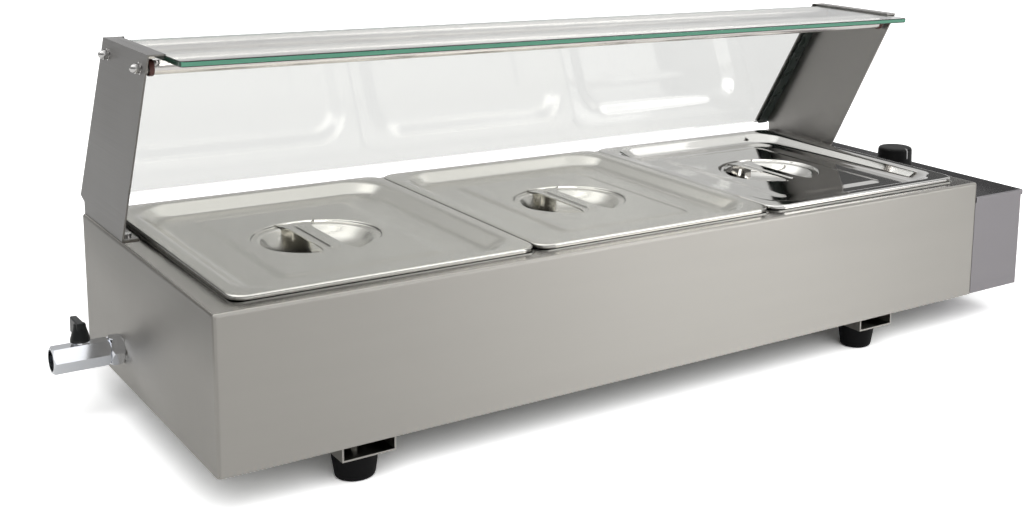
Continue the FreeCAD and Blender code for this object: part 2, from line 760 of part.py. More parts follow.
def build_tank():
    body = new_body("tank")
    outside_floor = less("tank_floor", "tank_sheet")
    pad(body, "XY", outside_floor, less("casing_top_under", outside_floor),
        well_outline("tank_sheet"))
    pad(body, "XY", less("casing_top_under", "tank_sheet"), "tank_sheet", well_outline("tank_lip"))
    pocket(body, "XY", "tank_floor", less("casing_top_under", "tank_floor"), well_outline())
    legs = [circle(y, "element_level", plus("ferrule_radius", "thread_fit")) for y in leg_places()]
    bulb = circle("knob_back", "bulb_level", plus("bulb_fitting_radius", "thread_fit"))
    pocket(body, "YZ", "well_right", "tank_sheet", bulb, *legs)
    start = ("casing_sheet", "drain_back", "drain_height")
    reach = less("well_left", "casing_sheet")
    socket = rod("drain_socket", start, "right", plus("pipe_radius", "pipe_socket_wall"),
                 less(reach, "tank_sheet"))
    bore = rod("drain_bore", start, "right", "pipe_socket_bore", reach)
    thread = rod("drain_thread", start, "right", plus("pipe_radius", "thread_fit"),
                 "pipe_socket_depth")
    make_node(cut("tank_with_drain", fuse("tank_and_socket", body, socket), bore, thread),
              "inner_tank")


def build_pan_bars():
    bars = []
    for side in ("-", "+"):
        centre = "middle_across " + side + " gn_pitch / 2"
        left = less(centre, "bar_width / 2")
        right = plus(centre, "bar_width / 2")
        foot = less("casing_height", "bar_height")
        under = less("casing_height", "bar_sheet")
        inner_left = plus(left, "bar_sheet")
        inner_right = less(right, "bar_sheet")
        body = new_body("pan_bar")
        pad(body, "XZ", "well_front", less("well_back", "well_front"),
            polygon((left, foot), (inner_left, foot), (inner_left, under), (inner_right, under),
                    (inner_right, foot), (right, foot), (right, "casing_height"),
                    (left, "casing_height")))
        bars.append(body)
    make_node(group("bars", bars), "pan_bars")


# Pans and lids, each drawn once round its own middle and set down three times


def gn_outline(inset, radius):
    """A gastronorm 1/2 outline round the Z axis, drawn in by an inset."""
    return rounded(plus("-gn_width / 2", inset), plus("-gn_depth / 2", inset),
                   less("gn_width / 2", inset), less("gn_depth / 2", inset), radius)


def build_pans():
    rim = new_body("pan_rim_plate")
    pad(rim, "XY", "casing_height", "pan_sheet", gn_outline("pan_undersize", "pan_rim_corner"))
    depth = less("pan_depth", "pan_sheet")
    outside = sunken("pan_outside", "casing_height", depth, "pan_taper",
                     gn_outline("pan_rim", "pan_corner"))
    soften(outside, plus("pan_round", "pan_sheet"), level_at(less("casing_height", depth)))
    inside = sunken("pan_inside", "lid_foot", depth, "pan_taper",
                    gn_outline(plus("pan_rim", "pan_sheet"), less("pan_corner", "pan_sheet")))
    soften(inside, "pan_round", level_at(less("lid_foot", depth)))
    pan = cut("pan", fuse("pan_whole", rim, outside), inside)
    for side, centre in zip(("left", "middle", "right"), pan_centres()):
        make_node(group("pan_" + side + "_copy", [pan]), "pan_" + side,
                  (centre, "middle_deep", "0"))


def build_lids():
    plate = new_body("lid_plate")
    pad(plate, "XY", "lid_foot", "lid_rim_height", gn_outline("0", "lid_corner"))
    top_edges = level_at("lid_top")
    foot_edges = level_at("lid_foot")
    soften(plate, "lid_round", lambda edge: top_edges(edge) or foot_edges(edge))
    pocket(plate, "XY", "lid_foot", less("lid_rim_height", "lid_sheet"),
           gn_outline("lid_rim_width", less("lid_corner", "lid_rim_width")))
    lean_out = "atan(lid_slope / lid_recess)"
    ease = "lid_sheet * tan((" + lean_out + ") / 2)"
    under = sunken("lid_under", less("lid_top", "lid_sheet"), "lid_recess", lean_out,
                   gn_outline(less("lid_border", less("lid_sheet", ease)),
                              plus("recess_corner", less("lid_sheet", ease))))
    over = sunken("lid_over", "lid_top", "lid_recess", lean_out,
                  gn_outline("lid_border", "recess_corner"))
    pressed = cut("lid_pressed", fuse("lid_whole", plate, under), over)
    panel = new_body("lid_panel")
    pad(panel, "XY", "recess_floor", "panel_rise", panel_outline("0"))
    hollow = new_body("lid_panel_hollow")
    pad(hollow, "XY", less("recess_floor", "lid_sheet"), "panel_rise", panel_outline("lid_sheet"))
    panelled = cut("lid_panelled", fuse("lid_with_panel", pressed, panel), hollow)
    centre = ("0", "0", "bowl_centre")
    ball = sphere("dish_outside", centre, plus("bowl_sphere", "lid_sheet"))
    deep = plus("bowl_depth", "lid_sheet", "lid_sheet")
    keep = rod("dish_limit", ("0", "0", less("step_floor", deep)), "up",
               plus("dish_radius", "2 * lid_sheet"), less(deep, "lid_sheet / 2"))
    cup = rod("step_outside", ("0", "0", less("step_floor", "lid_sheet")), "up",
              plus("step_radius", "lid_sheet"), plus("step_depth", "lid_sheet / 2"))
    dished = fuse("lid_dished", panelled, common("dish_cap", ball, keep), cup)
    step = rod("step_inside", ("0", "0", "step_floor"), "up", "step_radius",
               plus("step_depth", "lid_sheet"))
    lid = cut("lid", dished, sphere("dish_inside", centre, "bowl_sphere"), step)
    strap = build_strap()
    for side, x in zip(("left", "middle", "right"), pan_centres()):
        at = (x, "middle_deep", "0")
        make_node(group("lid_" + side + "_copy", [lid]), "lid_" + side, at)
        make_node(group("strap_" + side + "_copy", [strap]), "lid_handle_" + side, at)


def panel_outline(inset):
    half_width = less("panel_width / 2", inset)
    half_length = less("panel_length / 2", inset)
    return rounded("-(" + half_width + ")", "-(" + half_length + ")", half_width, half_length,
                   less("panel_corner", inset))


def build_strap():
    """A strap across the dish, from front to back, whose ends rest on the step."""
    body = new_body("strap_plate")
    half = "strap_width / 2"
    end_half = "strap_end_width / 2"
    flare = less("step_radius", "strap_flare")
    pad(body, "XY", "step_floor", "strap_sheet",
        polygon(("-" + half, "-(" + flare + ")"), ("-" + end_half, "-step_radius"),
                (end_half, "-step_radius"), (half, "-(" + flare + ")"), (half, flare),
                (end_half, "step_radius"), ("-" + end_half, "step_radius"),
                ("-" + half, flare)))
    pad(body, "XY", plus("step_floor", "strap_sheet / 2"), plus("strap_sheet / 2", "rib_rise"),
        rectangle("-rib_width / 2", "-(" + flare + ")", "rib_width / 2", flare))
    round_ends = rod("strap_limit", ("0", "0", "step_floor"), "up",
                     less("step_radius", "strap_gap"), plus("strap_sheet", "rib_rise"))
    return common("strap", body, round_ends)


# Heating, inside the tank and the control box


def build_heating():
    gaskets = []
    nuts = []

    def fitting(name, y, z, radius, head, flats):
        """A fitting in the tank's right wall, with its gasket and its nut."""
        gasket_at = (less("well_right", "fitting_gasket"), y, z)
        inner = rod(name + "_head", gasket_at, "left", head, "fitting_head")
        tail = rod(name + "_tail", gasket_at, "right", radius,
                   plus("fitting_gasket", "tank_sheet", "fitting_tail"))
        gaskets.append(ring(name + "_gasket", gasket_at, "right", head,
                            plus(radius, "screw_play"), "fitting_gasket"))
        nuts.append(nut(name + "_nut", (plus("well_right", "tank_sheet"), y, z), "right", flats,
                        plus(radius, "thread_fit"), "fitting_nut"))
        return [inner, tail]

    turn_x = plus("well_left", "element_end", "element_spread")
    pieces = [bend("element_bend", (turn_x, "middle_deep", "element_level"),
                   Rotation(Vector(0, 0, 1), 90), "element_spread", "element_radius", 180)]
    leg_end = plus("casing_length", "cold_end")
    fitting_left = less("well_right", plus("fitting_gasket", "fitting_head"))
    ferrules = []
    saddles = []
    for y in leg_places():
        pieces.append(rod("element_leg", (turn_x, y, "element_level"), "right", "element_radius",
                          less(leg_end, turn_x)))
        pieces.append(rod("element_pin", (leg_end, y, "element_level"), "right",
                          "terminal_radius", "terminal_length"))
        whole = fuse("ferrule_whole", *fitting("ferrule", y, "element_level", "ferrule_radius",
                                               "ferrule_head", "ferrule_flats"))
        tube_hole = rod("ferrule_bore", (fitting_left, y, "element_level"), "right",
                        plus("element_radius", "thread_fit"),
                        plus("fitting_gasket", "fitting_head", "tank_sheet", "fitting_tail"))
        ferrules.append(cut("ferrule", whole, tube_hole))
        for x in (plus(turn_x, "saddle_in"), less("well_right", "saddle_in")):
            foot = block("saddle_block",
                         (less(x, "saddle_length / 2"), less(y, "saddle_width / 2"), "tank_floor"),
                         "saddle_length", "saddle_width", "element_height")
            bed = rod("saddle_bed", (less(x, "saddle_length / 2"), y, "element_level"), "right",
                      plus("element_radius", "thread_fit"), "saddle_length")
            saddles.append(cut("saddle", foot, bed))
    make_node(fuse("element", *pieces), "heating_element")
    make_node(group("element_ferrules", ferrules), "element_fittings")
    make_node(group("saddles", saddles), "element_saddles")

    gland = fitting("bulb_fitting", "knob_back", "bulb_level", "bulb_fitting_radius",
                    "bulb_fitting_head", "bulb_fitting_flats")
    bulb = rod("bulb", (fitting_left, "knob_back", "bulb_level"), "left", "bulb_radius",
               "bulb_length")
    tail_end = plus("well_right", "tank_sheet", "fitting_tail")
    bend_x = less("knob_x", "capillary_bend")
    run = rod("capillary_run", (tail_end, "knob_back", "bulb_level"), "right",
              "capillary_radius", less(bend_x, tail_end))
    from_below_to_right = Rotation(Vector(0, 1, 0), 90).multiply(Rotation(Vector(1, 0, 0), 90))
    bend_z = plus("bulb_level", "capillary_bend")
    elbow = bend("capillary_elbow", (bend_x, "knob_back", bend_z), from_below_to_right,
                 "capillary_bend", "capillary_radius", 90)
    thermostat_foot = less("box_lid_under", "thermostat_height")
    rise = rod("capillary_rise", ("knob_x", "knob_back", bend_z), "up", "capillary_radius",
               less(thermostat_foot, bend_z))
    make_node(fuse("sensor", bulb, *gland, run, elbow, rise), "sensor_bulb")
    make_node(group("fitting_gaskets", gaskets), "element_gaskets")
    make_node(group("fitting_nuts", nuts), "element_nuts")
    limiter = rod("limiter", ("limiter_along", "middle_deep", less("tank_floor", "tank_sheet")),
                  "down", "limiter_radius", "limiter_height")
    make_node(group("limiter_disc", [limiter]), "overheat_limiter")


# Control box


def build_control_box():
    shell = new_body("shell")
    right = less("box_right", "shell_inset")
    back = less("casing_depth", "shell_inset")
    pad(shell, "XY", "0", "box_lid_under",
        rectangle("casing_length", "shell_inset", right, back))
    right_edges = less("box_right", plus("shell_inset", "box_fold"))
    limit = value(right_edges)
    soften(shell, "box_fold", lambda edge: is_upright(edge) and edge.BoundBox.XMin > limit)
    wall = plus("shell_inset", "box_sheet")
    pocket(shell, "XY", "box_sheet", less("box_lid_under", "box_sheet"),
           rectangle(plus("casing_length", "box_sheet"), wall, less("box_right", wall),
                     less("casing_depth", wall)))
    flange = plus(wall, "box_flange")
    pocket(shell, "YZ", "casing_length", "box_sheet",
           rectangle(flange, "box_sheet", less("casing_depth", flange), "box_lid_under"))
    holes = [circle(y, z, plus("screw_radius", "screw_play")) for y, z in box_screw_places()]
    pocket(shell, "YZ", "casing_length", "box_sheet", *holes)
    tools = [rod("gland_hole", ("knob_x", less(back, "box_sheet"), "gland_height"), "back",
                 plus("gland_thread", "screw_play"), "box_sheet")]
    screw_level = less("box_height", "box_rear_lip / 2")
    for x in lid_screw_places():
        tools.append(rod("lid_thread", (x, less(back, "box_sheet"), screw_level), "back",
                         plus("screw_radius", "thread_fit"), "box_sheet"))
    make_node(cut("shell_drilled", shell, *tools), "control_box_shell")

    lid = new_body("box_lid")
    left = plus("casing_length", "box_seam")
    pad(lid, "XY", less("box_height", "box_rear_lip"), "box_rear_lip",
        rectangle(left, "0", "box_right", "casing_depth"))
    on_top = level_at("box_height")
    near_left = value(left) + 0.001

    def folded(edge):
        return (is_upright(edge) or on_top(edge)) and edge.BoundBox.XMax > near_left

    soften(lid, "box_fold", folded)
    pocket(lid, "XY", less("box_height", "box_rear_lip"), less("box_rear_lip", "box_sheet"),
           rectangle(left, "box_sheet", less("box_right", "box_sheet"),
                     less("casing_depth", "box_sheet")))
    pocket(lid, "XY", less("box_height", "box_rear_lip"), less("box_rear_lip", "box_lip"),
           rectangle(left, "0", "box_right", less("casing_depth", "box_sheet")))
    pocket(lid, "XY", "box_lid_under", "box_sheet", circle("knob_x", "knob_back", "spindle_hole"))
    holes = [circle(x, screw_level, plus("screw_radius", "screw_play"))
             for x in lid_screw_places()]
    pocket(lid, "XZ", less("casing_depth", "box_sheet"), "box_sheet", *holes)
    make_node(lid, "control_box_lid")

    screws = [screw("box_screw", (plus("casing_length", "box_sheet"), y, z), "left")
              for y, z in box_screw_places()]
    screws += [screw("lid_screw", (x, "casing_depth", screw_level), "front")
               for x in lid_screw_places()]
    make_node(group("box_screws", screws), "control_box_screws")

    block_at = (less("knob_x", "block_length / 2"), less("block_back", "block_depth / 2"),
                "box_sheet")
    terminals = block("terminals", block_at, "block_length", "block_depth", "block_height")
    make_node(group("terminals_placed", [terminals]), "terminal_block")


def build_thermostat():
    top = "box_lid_under"
    corner = (less("knob_x", "thermostat_width / 2"), less("knob_back", "thermostat_depth / 2"),
              less(top, "thermostat_height"))
    case = block("thermostat_case", corner, "thermostat_width", "thermostat_depth",
                 "thermostat_height")
    hole = rod("spindle_bearing", ("knob_x", "knob_back", less(top, "spindle_sink")), "up",
               plus("spindle_radius", "running_fit"), "spindle_sink")
    make_node(cut("thermostat", case, hole), "thermostat_body")
    foot = less(top, less("spindle_sink", "spindle_end_gap"))
    tip = less(plus("box_height", "knob_gap", "knob_bore"), "spindle_end_gap")
    spindle = rod("spindle", ("knob_x", "knob_back", foot), "up", "spindle_radius",
                  less(tip, foot))
    make_node(group("spindle_placed", [spindle]), "thermostat_spindle")
    knob = new_body("knob")
    turned(knob, polygon(("0", "0"), ("knob_skirt_radius", "0"),
                         ("knob_skirt_radius", "knob_skirt_height"),
                         ("knob_radius", "knob_skirt_height"),
                         ("knob_top_radius", "knob_height"), ("0", "knob_height")))
    soften(knob, "knob_round", level_at("knob_height"))
    bore = plus("spindle_radius", "thread_fit")
    turned(knob, polygon(("0", "0"), (bore, "0"), (bore, "knob_bore"), ("0", "knob_bore")),
           removes=True)
    make_node(knob, "thermostat_knob", ("knob_x", "knob_back", plus("box_height", "knob_gap")))


def build_gland():
    back = less("casing_depth", "shell_inset")
    at = ("knob_x", back, "gland_height")
    inside = less(back, "box_sheet")
    whole = fuse("gland_whole",
                 hexagon("gland_hexagon", at, "back", "gland_flats", "gland_hex"),
                 cone("gland_clamp", shifted(at, "back", "gland_hex"), "back",
                      "gland_cap_radius", "gland_cap_radius * 0.8", "gland_cap"),
                 rod("gland_tail_rod", at, "front", "gland_thread", "gland_tail"))
    bore = rod("gland_bore_rod", shifted(at, "front", "gland_tail"), "back", "gland_bore",
               plus("gland_tail", "gland_hex", "gland_cap"))
    make_node(cut("gland", whole, bore), "cable_gland")
    make_node(nut("gland_lock", ("knob_x", inside, "gland_height"), "front", "gland_nut_flats",
                  plus("gland_thread", "thread_fit"), "gland_nut_height"), "gland_nut")


# Rails and feet


def build_underside():
    for side, start in zip(("left", "right"), rail_starts()):
        end = plus(start, "rail_width")
        inner_start = plus(start, "rail_sheet")
        inner_end = less(end, "rail_sheet")
        web = less("rail_sheet", "rail_height")
        body = new_body("rail_" + side)
        pad(body, "XZ", "rail_setback", less("casing_depth", "2 * rail_setback"),
            polygon((start, "-rail_height"), (end, "-rail_height"), (end, "0"), (inner_end, "0"),
                    (inner_end, web), (inner_start, web), (inner_start, "0"), (start, "0")))
        holes = [circle(x, y, plus("stud_radius", "screw_play")) for x, y in foot_places()
                 if value(start) < value(x) < value(end)]
        pocket(body, "XY", "-rail_height", "rail_sheet", *holes)
        make_node(body, "foot_rail_" + side)

    foot = new_body("foot")
    turned(foot, polygon(("0", "0"), ("foot_top_radius", "0"),
                         ("foot_sole_radius", "-foot_height"), ("0", "-foot_height")))
    soften(foot, "foot_round", level_at("-foot_height"))
    bore = plus("stud_radius", "thread_fit")
    turned(foot, polygon(("0", "0"), (bore, "0"), (bore, "-foot_bond"), ("0", "-foot_bond")),
           removes=True)
    studs = []
    nuts = []
    names = ("foot_front_left", "foot_front_right", "foot_rear_left", "foot_rear_right")
    for name, (x, y) in zip(names, foot_places()):
        make_node(group(name + "_copy", [foot]), name, (x, y, "-rail_height"))
        web = (x, y, less("rail_sheet", "rail_height"))
        studs.append(rod("foot_stud_rod", (x, y, plus("-rail_height", "-foot_bond")), "up",
                         "stud_radius", plus("foot_bond", "rail_sheet", "foot_stud")))
        nuts.append(nut("foot_nut", web, "up", "nut_flats", plus("stud_radius", "thread_fit"),
                        "nut_height"))
    make_node(group("studs", studs), "foot_studs")
    make_node(group("nuts", nuts), "foot_nuts")


# Glass guard. Its back edge, channels and back glass lean: a piece is placed by its depth
# in from the back edge's line and by its way up along that line.


def leaning(depth, way_up):
    y = less(less("plate_back_line", "(" + way_up + ") * sin(lean)"),
             "(" + depth + ") * cos(lean)")
    z = less(plus("plate_fold", "(" + way_up + ") * cos(lean)"), "(" + depth + ") * sin(lean)")
    return (y, z)


def leaning_strip(near, far, foot, head):
    return polygon(leaning(near, foot), leaning(far, foot), leaning(far, head),
                   leaning(near, head))


def across(side, near, far):
    """Start and length, left to right, of what lies near to far from a casing end."""
    start = near if side == "left" else less("casing_length", far)
    return start, less(far, near)


def build_bracket(side):
    body = new_body("bracket_" + side)
    step = "guard_sheet * front_slope"
    fold = "guard_sheet * slant"
    outer = "guard_inset"
    pad(body, "YZ", *across(side, outer, "plate_inner"),
        polygon(("plate_foot_front", "casing_height"), ("plate_foot_back", "casing_height"),
                ("plate_foot_back", plus("casing_height", "notch_top")),
                ("plate_back_line", "plate_fold"), ("plate_top_back", "guard_top"),
                ("plate_top_front", "guard_top")))
    pad(body, "YZ", *across(side, outer, plus(outer, "top_flange")),
        polygon(("plate_top_front", "guard_top"), (plus("plate_top_front", step), "flange_under"),
                (plus("plate_top_back", "guard_sheet * slope"), "flange_under"), ("plate_top_back", "guard_top")))
    pad(body, "YZ", *across(side, outer, plus(outer, "foot_flange")),
        polygon(("plate_foot_front", "casing_height"), ("plate_foot_back", "casing_height"),
                ("plate_foot_back", plus("casing_height", "guard_sheet")),
                (less("plate_foot_front", step), plus("casing_height", "guard_sheet"))))
    pad(body, "YZ", *across(side, outer, plus(outer, "back_flange")),
        polygon(("plate_back_line", "plate_fold"), ("plate_top_back", "guard_top"),
                (less("plate_top_back", fold), "guard_top"),
                (less("plate_back_line", fold), "plate_fold")))
    own = guard_screw_places()[:2] if side == "left" else guard_screw_places()[2:]
    pocket(body, "XY", "casing_height", "guard_sheet",
           *[circle(x, y, plus("screw_radius", "screw_play")) for x, y in own])
    pocket(body, "YZ", *across(side, outer, "plate_inner"),
           *[circle(y, "rod_level", plus("stud_radius", "screw_play")) for y in rod_rows()])
    make_node(body, "guard_bracket_" + side)


def build_channel(side):
    """A U of channel walls round the edge of the back glass, closed at its foot."""
    body = new_body("channel_" + side)
    far_x = plus("plate_inner", "channel_depth")
    pad(body, "YZ", *across(side, "plate_inner", far_x),
        leaning_strip("guard_sheet", "channel_far", "0", "channel_rise"))
    pocket(body, "YZ", *across(side, plus("plate_inner", "channel_sheet"), far_x),
           leaning_strip(plus("guard_sheet", "channel_sheet"),
                         less("channel_far", "channel_sheet"), "channel_sheet", "channel_rise"))
    make_node(body, "glass_channel_" + side)


def build_glass():
    back = new_body("back_pane")
    near = plus("plate_inner", "channel_sheet", "glass_gap")
    depth = plus("guard_sheet", "channel_sheet", "glass_gap")
    pad(back, "YZ", near, less("casing_length", "2 * (" + near + ")"),
        leaning_strip(depth, plus(depth, "glass"), plus("channel_sheet", "glass_gap"),
                      "channel_rise"))
    make_node(back, "back_glass")
    shelf = new_body("shelf_pane")
    left = plus("guard_inset", "top_flange", "shelf_side_gap")
    pad(shelf, "XY", "shelf_under", "glass",
        rounded(left, "shelf_front", less("casing_length", left), "shelf_back", "glass_corner"))
    make_node(shelf, "shelf_glass")


def build_rods():
    nuts = []
    caps = []
    washers = []
    acorns = []
    studs = []
    start = plus("plate_inner", "nut_height", "rod_cap")
    clearance = plus("stud_radius", "screw_play")
    thread = plus("stud_radius", "thread_fit")
    stud_end = less("guard_inset", plus("washer_sheet", "acorn_hex"))
    for name, y in zip(("front_rod", "rear_rod"), rod_rows()):
        tube = ring(name + "_tube", (start, y, "rod_level"), "right", "rod_radius",
                    less("rod_radius", "rod_wall"), less("casing_length", "2 * (" + start + ")"))
        make_node(tube, name)
        studs.append(rod("tie_stud", (stud_end, y, "rod_level"), "right", "stud_radius",
                         less("casing_length", "2 * (" + stud_end + ")")))
        for outward, inward, mirror in (("left", "right", False), ("right", "left", True)):
            def end(distance):
                x = less("casing_length", distance) if mirror else distance
                return (x, y, "rod_level")
            nuts.append(nut("rod_nut", end("plate_inner"), inward, "nut_flats", thread,
                            "nut_height"))
            caps.append(ring("rod_end_cap", end(plus("plate_inner", "nut_height")), inward,
                             "rod_cap_radius", clearance, "rod_cap"))
            washers.append(ring("washer", end("guard_inset"), outward, "washer_radius",
                                clearance, "washer_sheet"))
            at = end(less("guard_inset", "washer_sheet"))
            shell = fuse("acorn_whole",
                         hexagon("acorn_hexagon", at, outward, "nut_flats", "acorn_hex"),
                         sphere("acorn_ball", shifted(at, outward, "acorn_hex"), "acorn_dome"))
            acorns.append(cut("acorn", shell,
                              rod("acorn_bore", at, outward, thread, "acorn_thread")))
    make_node(group("tie_stud_pair", studs), "tie_studs")
    make_node(group("rod_nut_set", nuts), "rod_nuts")
    make_node(group("rod_cap_set", caps), "rod_caps")
    make_node(group("washer_set", washers), "acorn_washers")
    make_node(group("acorn_set", acorns), "acorn_nuts")


def build_guard_screws():
    top = plus("casing_height", "guard_sheet")
    screws = [screw("guard_screw", (x, y, top), "down") for x, y in guard_screw_places()]
    nuts = [nut("guard_nut", (x, y, "casing_top_under"), "down", "small_nut_flats",
                plus("screw_radius", "thread_fit"), "small_nut_height")
            for x, y in guard_screw_places()]
    make_node(group("guard_screw_set", screws), "bracket_screws")
    make_node(group("guard_nut_set", nuts), "bracket_nuts")


# Drain tap: its flow axis runs left, its stem stands upright, its lever points back when shut


def build_tap():
    axis = ("0", "drain_back", "drain_height")
    make_node(nut("lock_nut", axis, "left", "lock_nut_flats", plus("pipe_radius", "thread_fit"),
                  "lock_nut_height"), "drain_lock_nut")

    body_at = shifted(axis, "left", "tap_start")
    stub_length = plus("tap_start", "casing_sheet", less("pipe_socket_depth", "pipe_end_gap"))
    stem_at = ("-stem_x", "drain_back", "tap_top")
    whole = fuse("tap_whole", hexagon("tap_hexagon", body_at, "left", "tap_flats", "tap_length"),
                 rod("tap_stub", body_at, "right", "pipe_radius", stub_length),
                 rod("tap_boss", shifted(stem_at, "down", "ball_gap"), "up", "boss_radius",
                     plus("ball_gap", "boss_height")))
    inlet_end = shifted(body_at, "right", stub_length)
    flow = rod("tap_flow", inlet_end, "left", "tap_bore", plus(stub_length, "tap_length"))
    outlet = rod("tap_outlet", shifted(axis, "left", "tap_end"), "right", "outlet_radius",
                 "outlet_depth")
    chamber_half = plus("ball_radius", "ball_gap")
    ball_at = ("-stem_x", "drain_back", "drain_height")
    chamber = rod("tap_chamber", shifted(ball_at, "right", chamber_half), "left", chamber_half,
                  "2 * (" + chamber_half + ")")
    stem_hole = rod("tap_stem_hole", ball_at, "up", plus("stem_radius", "running_fit"),
                    plus("tap_flats / 2", "boss_height"))
    make_node(cut("tap", whole, flow, outlet, chamber, stem_hole), "valve_body")

    seats = []
    for way in ("left", "right"):
        end = shifted(ball_at, way, chamber_half)
        seat = ring("seat_ring", end, OPPOSITE[way], less(chamber_half, "thread_fit"), "tap_bore",
                    "ball_seat_length")
        seats.append(cut("seat", seat, sphere("seat_face", ball_at,
                                              plus("ball_radius", "running_fit"))))
    make_node(group("seats", seats), "valve_seats")

    slot_floor = plus("drain_height", less("ball_radius", "tongue_depth"))
    slot_width = plus("tongue_width", "2 * running_fit")
    bore = rod("ball_bore", shifted(ball_at, "front", "ball_radius"), "back", "tap_bore",
               "2 * ball_radius")
    slot_at = (less("-stem_x", "ball_radius"), less("drain_back", "(" + slot_width + ") / 2"),
               slot_floor)
    slot = block("ball_slot", slot_at, "2 * ball_radius", slot_width, "tongue_depth")
    make_node(cut("ball", sphere("ball_whole", ball_at, "ball_radius"), bore, slot), "valve_ball")

    shaft_foot = plus("drain_height", "ball_radius", "ball_gap / 2")
    tongue_half = "stem_radius * 0.8"
    tongue_foot = plus(slot_floor, "running_fit")
    tongue_at = (less("-stem_x", tongue_half), less("drain_back", "tongue_width / 2"), tongue_foot)
    tongue = block("stem_tongue", tongue_at, "2 * " + tongue_half, "tongue_width",
                   less(plus(shaft_foot, "running_fit"), tongue_foot))
    stem_top = plus("tap_top", "stem_rise")
    shaft = rod("stem_shaft", ("-stem_x", "drain_back", shaft_foot), "up", "stem_radius",
                less(stem_top, shaft_foot))
    screw_thread = plus("lever_screw_radius", "thread_fit")
    thread = rod("stem_thread", ("-stem_x", "drain_back", stem_top), "down", screw_thread,
                 "lever_thread")
    make_node(cut("stem", fuse("stem_whole", shaft, tongue), thread), "valve_stem")

    build_lever(stem_top)


def build_lever(stem_top):
    foot = plus("tap_top", "boss_height", "lever_gap")
    hub = cone("lever_hub", ("-stem_x", "drain_back", foot), "up", "hub_radius",
               "hub_top_radius", "hub_height")
    top = plus("tap_top", "blade_top")
    under = plus("tap_top", "blade_under")
    tip = plus("drain_back", "blade_reach")
    tail = less("drain_back", "blade_tail")
    blade = new_body("lever_blade")
    pad(blade, "YZ", less("-stem_x", "blade_width / 2"), "blade_width",
        polygon((tail, plus(under, "1")), ("drain_back", under), (tip, under),
                (tip, plus(under, "blade_tip")), (plus("drain_back", "blade_reach / 2"), top),
                (tail, top)))
    soften(blade, "blade_round", lambda edge: edge.BoundBox.XLength > 0.001)
    socket = rod("lever_socket", ("-stem_x", "drain_back", foot), "up",
                 plus("stem_radius", "thread_fit"), less(stem_top, foot))
    seat = less(top, plus("lever_head_height", "screw_play"))
    hole = rod("lever_hole", ("-stem_x", "drain_back", stem_top), "up",
               plus("lever_screw_radius", "screw_play"), less(top, stem_top))
    sink = rod("lever_sink", ("-stem_x", "drain_back", seat), "up",
               plus("lever_head_radius", "screw_play"), less(top, seat))
    make_node(cut("lever", fuse("lever_whole", hub, blade), socket, hole, sink), "valve_handle")
    head_at = ("-stem_x", "drain_back", seat)
    make_node(fuse("lever_screw",
                   rod("lever_screw_top", head_at, "up", "lever_head_radius", "lever_head_height"),
                   rod("lever_screw_shank", head_at, "down", "lever_screw_radius",
                       "lever_screw_length")), "handle_screw")


def check():
    for item in doc.Objects:
        if {"Invalid", "Error"} & set(item.State):
            raise RuntimeError(item.Name + " failed")
    for base, result in cuts:
        if result.Shape.Volume > base.Shape.Volume - 0.001:
            raise RuntimeError(result.Name + " cut nothing")
    for name in node_names:
        shape = doc.getObject(name).Shape
        if shape.isNull() or not shape.isValid() or not shape.Solids:
            raise RuntimeError(name + " has no valid solid")


def write():
    os.makedirs("parts", exist_ok=True)
    for name in node_names:
        item = doc.getObject(name)
        item.Shape.exportStep("parts/" + item.Label + ".step")
    print(len(node_names), "sub-parts written")


fill_sheet()
build_casing()
build_bottom_cover()
build_tank()
build_pan_bars()
build_pans()
build_lids()
build_heating()
build_control_box()
build_thermostat()
build_gland()
build_underside()
for hand in ("left", "right"):
    build_bracket(hand)
    build_channel(hand)
build_glass()
build_rods()
build_guard_screws()
build_tap()
doc.recompute()
check()
write()
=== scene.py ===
"""Looks of a countertop bain-marie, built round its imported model."""
import json
import math

import bmesh
import bpy
from mathutils import Matrix, Vector


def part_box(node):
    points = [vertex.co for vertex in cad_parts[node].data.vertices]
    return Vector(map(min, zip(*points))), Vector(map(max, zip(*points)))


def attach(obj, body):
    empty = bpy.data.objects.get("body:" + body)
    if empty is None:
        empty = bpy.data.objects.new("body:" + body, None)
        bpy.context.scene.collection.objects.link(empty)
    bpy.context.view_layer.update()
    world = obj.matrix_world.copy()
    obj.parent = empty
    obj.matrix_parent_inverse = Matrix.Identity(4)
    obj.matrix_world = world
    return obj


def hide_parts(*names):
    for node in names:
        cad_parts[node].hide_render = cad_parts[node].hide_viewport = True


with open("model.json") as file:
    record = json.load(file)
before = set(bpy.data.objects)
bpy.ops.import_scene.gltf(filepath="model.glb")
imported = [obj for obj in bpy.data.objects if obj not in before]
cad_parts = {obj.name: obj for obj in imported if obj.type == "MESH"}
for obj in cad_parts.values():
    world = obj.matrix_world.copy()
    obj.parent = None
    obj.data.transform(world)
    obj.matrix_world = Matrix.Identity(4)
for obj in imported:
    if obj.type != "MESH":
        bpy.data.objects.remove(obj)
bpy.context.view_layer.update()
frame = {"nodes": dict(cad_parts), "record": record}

MM = 0.001


# Shader arithmetic

